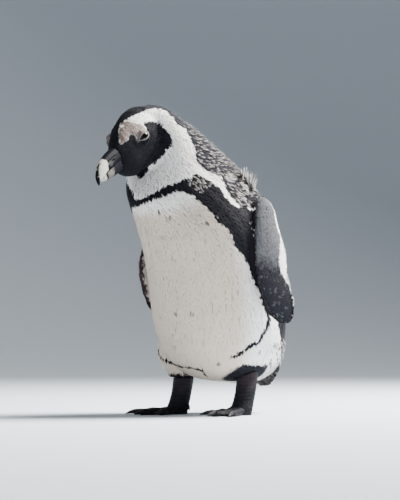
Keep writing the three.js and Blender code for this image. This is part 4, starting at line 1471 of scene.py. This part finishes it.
# Flipper feathers in the slate, which is partly painted sunlight, get tips lighter or darker by chance.
slate_sheen_feathers = np.isin(root_region, (FLIPPER_L, FLIPPER_R)) & (brightness > 0.03) & (brightness < 0.3)
tip_colour = np.where(slate_sheen_feathers[:, None], feather_colour * rng.uniform(0.9, 1.5, many)[:, None], tip_colour)
for clump_t, clump_phi, reach in CLUMPS:
    centre = body_point(np.array([clump_t]), np.array([float(clump_phi)]))
    near = np.linalg.norm(visible - centre, axis=1) < reach
    tip_colour = np.where(near[:, None], PALE_TIP_AND_HIGHLIGHT * rng.uniform(0.9, 1.5, many)[:, None], tip_colour)
    pale |= near
ruffled = on_nape * read_off(root_t, RUFFLED) * ramp(side_phi, 95, 140)
stand = ruffled * (1.2 + 2.6 * rng.random(many) ** 2) + pale * on_nape * rng.uniform(0.2, 1.4, many)
# White feathers on the sides between sections 9.2 and 10.6 get darker roots under white tips: painted
# shade between the scale-like feathers.
shaded_scale_roots = (brightness > BRIGHT) & (root_t > 9.2) & (root_t < 10.6) & (side_phi > 72) & (root_region < CROWN)
feather_colour = np.where(shaded_scale_roots[:, None], feather_colour * 0.75, feather_colour)
root_uv = unwrapped(roots, root_region, root_t, root_phi)
print(int(pale.sum()), "feathers with pale tips")

# %% [markdown]
# ## The coat, piece by piece
# The whole coat could be one mesh, but it is split into pieces by region, so that each stays light
# enough to handle on its own.

# %% Grow the coat
BELLY_TOP, RUMP_TOP = 4.2, 3.2
on_skin = feather_bare < 0.5
ahead, behind = side_phi < 90, side_phi >= 90
left, right = root_phi >= 0, root_phi < 0
trunk, neck = root_region == TRUNK, root_region == NECK
trunk_or_thigh = np.isin(root_region, (TRUNK, THIGH_L, THIGH_R))
groups = {
    "coat_head": (root_region == CROWN, "dark_plumage"),
    "coat_neck_left": (neck & left, "body_plumage"),
    "coat_neck_right": (neck & right, "body_plumage"),
    "coat_breast_left": (trunk & ahead & (root_t >= BELLY_TOP) & left, "body_plumage"),
    "coat_breast_right": (trunk & ahead & (root_t >= BELLY_TOP) & right, "body_plumage"),
    "coat_belly": (trunk_or_thigh & ahead & (root_t < BELLY_TOP), "body_plumage"),
    "coat_back_left": (trunk & behind & (root_t >= RUMP_TOP) & left, "body_plumage"),
    "coat_back_right": (trunk & behind & (root_t >= RUMP_TOP) & right, "body_plumage"),
    "coat_rump": (trunk_or_thigh & behind & (root_t < RUMP_TOP), "body_plumage"),
    "coat_flipper_left": (root_region == FLIPPER_L, "dark_plumage"),
    "coat_flipper_right": (root_region == FLIPPER_R, "dark_plumage"),
    "coat_tail": (root_region == TAIL, "dark_plumage"),
}
coat_triangles = 0
for name, (chosen, slot) in groups.items():
    k = np.flatnonzero(chosen & on_skin)
    piece = vanes(name, roots[k], root_normals[k], lie[k], length[k], width[k], lift[k],
                  feather_colour[k], tip_colour[k], root_uv[k], stand[k])
    coat_triangles += len(piece.data.polygons)
    print(name, len(k), "feathers")
print(coat_triangles, "triangles of coat")

# %% [markdown]
# ## Moult, tail and flipper edges
# Old feathers stick out where the moult is under way, on the left shoulder, the nape and the rump.
# Long stiff feathers make the tail, and small ones give each flipper its thin trailing edge. They
# are pieces of their own, because they don't follow the even scatter of the coat.

# %% Add the special feathers
def grown_at(name, wanted, direction, size, colour, tip, region, stand):
    """A piece of feathers rooted on the skin nearest to some wanted places."""
    place, normal = settled(wanted)
    t, phi = body_chart(place)
    region = np.full(len(place), region)
    spread = np.random.default_rng(len(place)).uniform(0.85, 1.15, len(place))
    length, width, lift = size
    piece = vanes(name, place, normal, laid(direction, normal), length * spread, width, lift,
                  colour, tip, unwrapped(place, region, t, phi), stand)
    print(name, len(place), "feathers")


# Tufts on the left shoulder, the nape and the left of the rump: how many, then the ranges of section,
# angle, length and stand.
TUFTS = [
    (60, (8.05, 8.6), (116, 134), (7, 12), (5, 15)),
    (70, (8.2, 10.8), (110, 250), (6, 9), (1.5, 4)),
    (60, (2.2, 3.3), (95, 165), (6, 9), (1, 3.5)),
]
SHOULDER_TUFTS, ALL_TUFTS = 60, 190


def drawn(rng, column):
    """Random values from one column of ranges, for every tuft in turn."""
    return np.concatenate([rng.uniform(*tuft[column], tuft[0]) for tuft in TUFTS])


rng = np.random.default_rng(73)
tuft_t = drawn(rng, 1)
tuft_phi = (drawn(rng, 2) + 180) % 360 - 180
tuft_at = body_point(tuft_t, tuft_phi)
tuft_lie = body_point(tuft_t - 0.15, tuft_phi) - body_point(tuft_t + 0.15, tuft_phi)
tuft_lie[:SHOULDER_TUFTS] *= -0.6
tuft_lie += rng.normal(0, 1.1, tuft_lie.shape)
tuft_tone = rng.random(ALL_TUFTS)[:, None]
tuft_dark = np.where(rng.random(ALL_TUFTS)[:, None] < 0.2, 0.25, 1)
tuft_colour = PALE_TIP_AND_HIGHLIGHT * (1.0 + 0.9 * tuft_tone) * tuft_dark
tuft_colour[SHOULDER_TUFTS:] *= 0.6
tuft_length = drawn(rng, 3)
tuft_stand = drawn(rng, 4)
tuft_width = np.repeat([4.0, 2.9], [SHOULDER_TUFTS, ALL_TUFTS - SHOULDER_TUFTS])
grown_at("moult_tufts", tuft_at, tuft_lie, (tuft_length, tuft_width, 2.0), tuft_colour * 0.8, tuft_colour,
         TRUNK, tuft_stand)

FAN = 13
fan = np.linspace(-1, 1, FAN)
fan_top = np.column_stack([27 * fan, 90 - 4 * fan**2, 72 - 6 * fan**2])
fan_under = np.column_stack([24 * fan, 74 + 0 * fan, 54 + 0 * fan])
fan_spread = np.column_stack([np.tile(fan, 2) * 0.42, np.zeros((2 * FAN, 2))])
fan_lie = np.tile([0.0, 0.5, -0.86], (2 * FAN, 1)) - fan_spread
# The lower row of tail feathers takes the vent's grey-brown, darkened further: painted shade under the
# tail.
fan_colour_and_shade = np.vstack([plain(DARK_SLATE, fan), plain(VENT_GREY_AND_SHADE * 0.7, fan)])
grown_at("tail_feathers", np.vstack([fan_top, fan_under]), fan_lie, (34, 6.5, 1.0), fan_colour_and_shade,
         fan_colour_and_shade * 1.15, TAIL, 0.4)

for side, region, name in ((1, FLIPPER_L, "left"), (-1, FLIPPER_R, "right")):
    _, middle, chord, along, trailing, outward = FLIPPER_FRAMES[side]
    at = np.repeat(np.arange(12, 91), 3)
    jitter = rng.uniform(-0.8, 0.8, len(at))[:, None]
    edge_at = middle[at] + trailing[at] * (chord[at] * 0.9)[:, None] + along[at] * jitter
    edge_at = edge_at + outward[at] * rng.choice([-1.0, 1.0], len(at))[:, None]
    edge_lie = along[at] + trailing[at] * rng.uniform(0.5, 0.9, len(at))[:, None]
    edge_colour = paint(edge_at + outward[at] * 2, np.full(len(at), region))[0]
    grown_at("flipper_edge_" + name, edge_at, edge_lie, (5.2, 2.4, 0.6), edge_colour, edge_colour,
             region, 0.5)
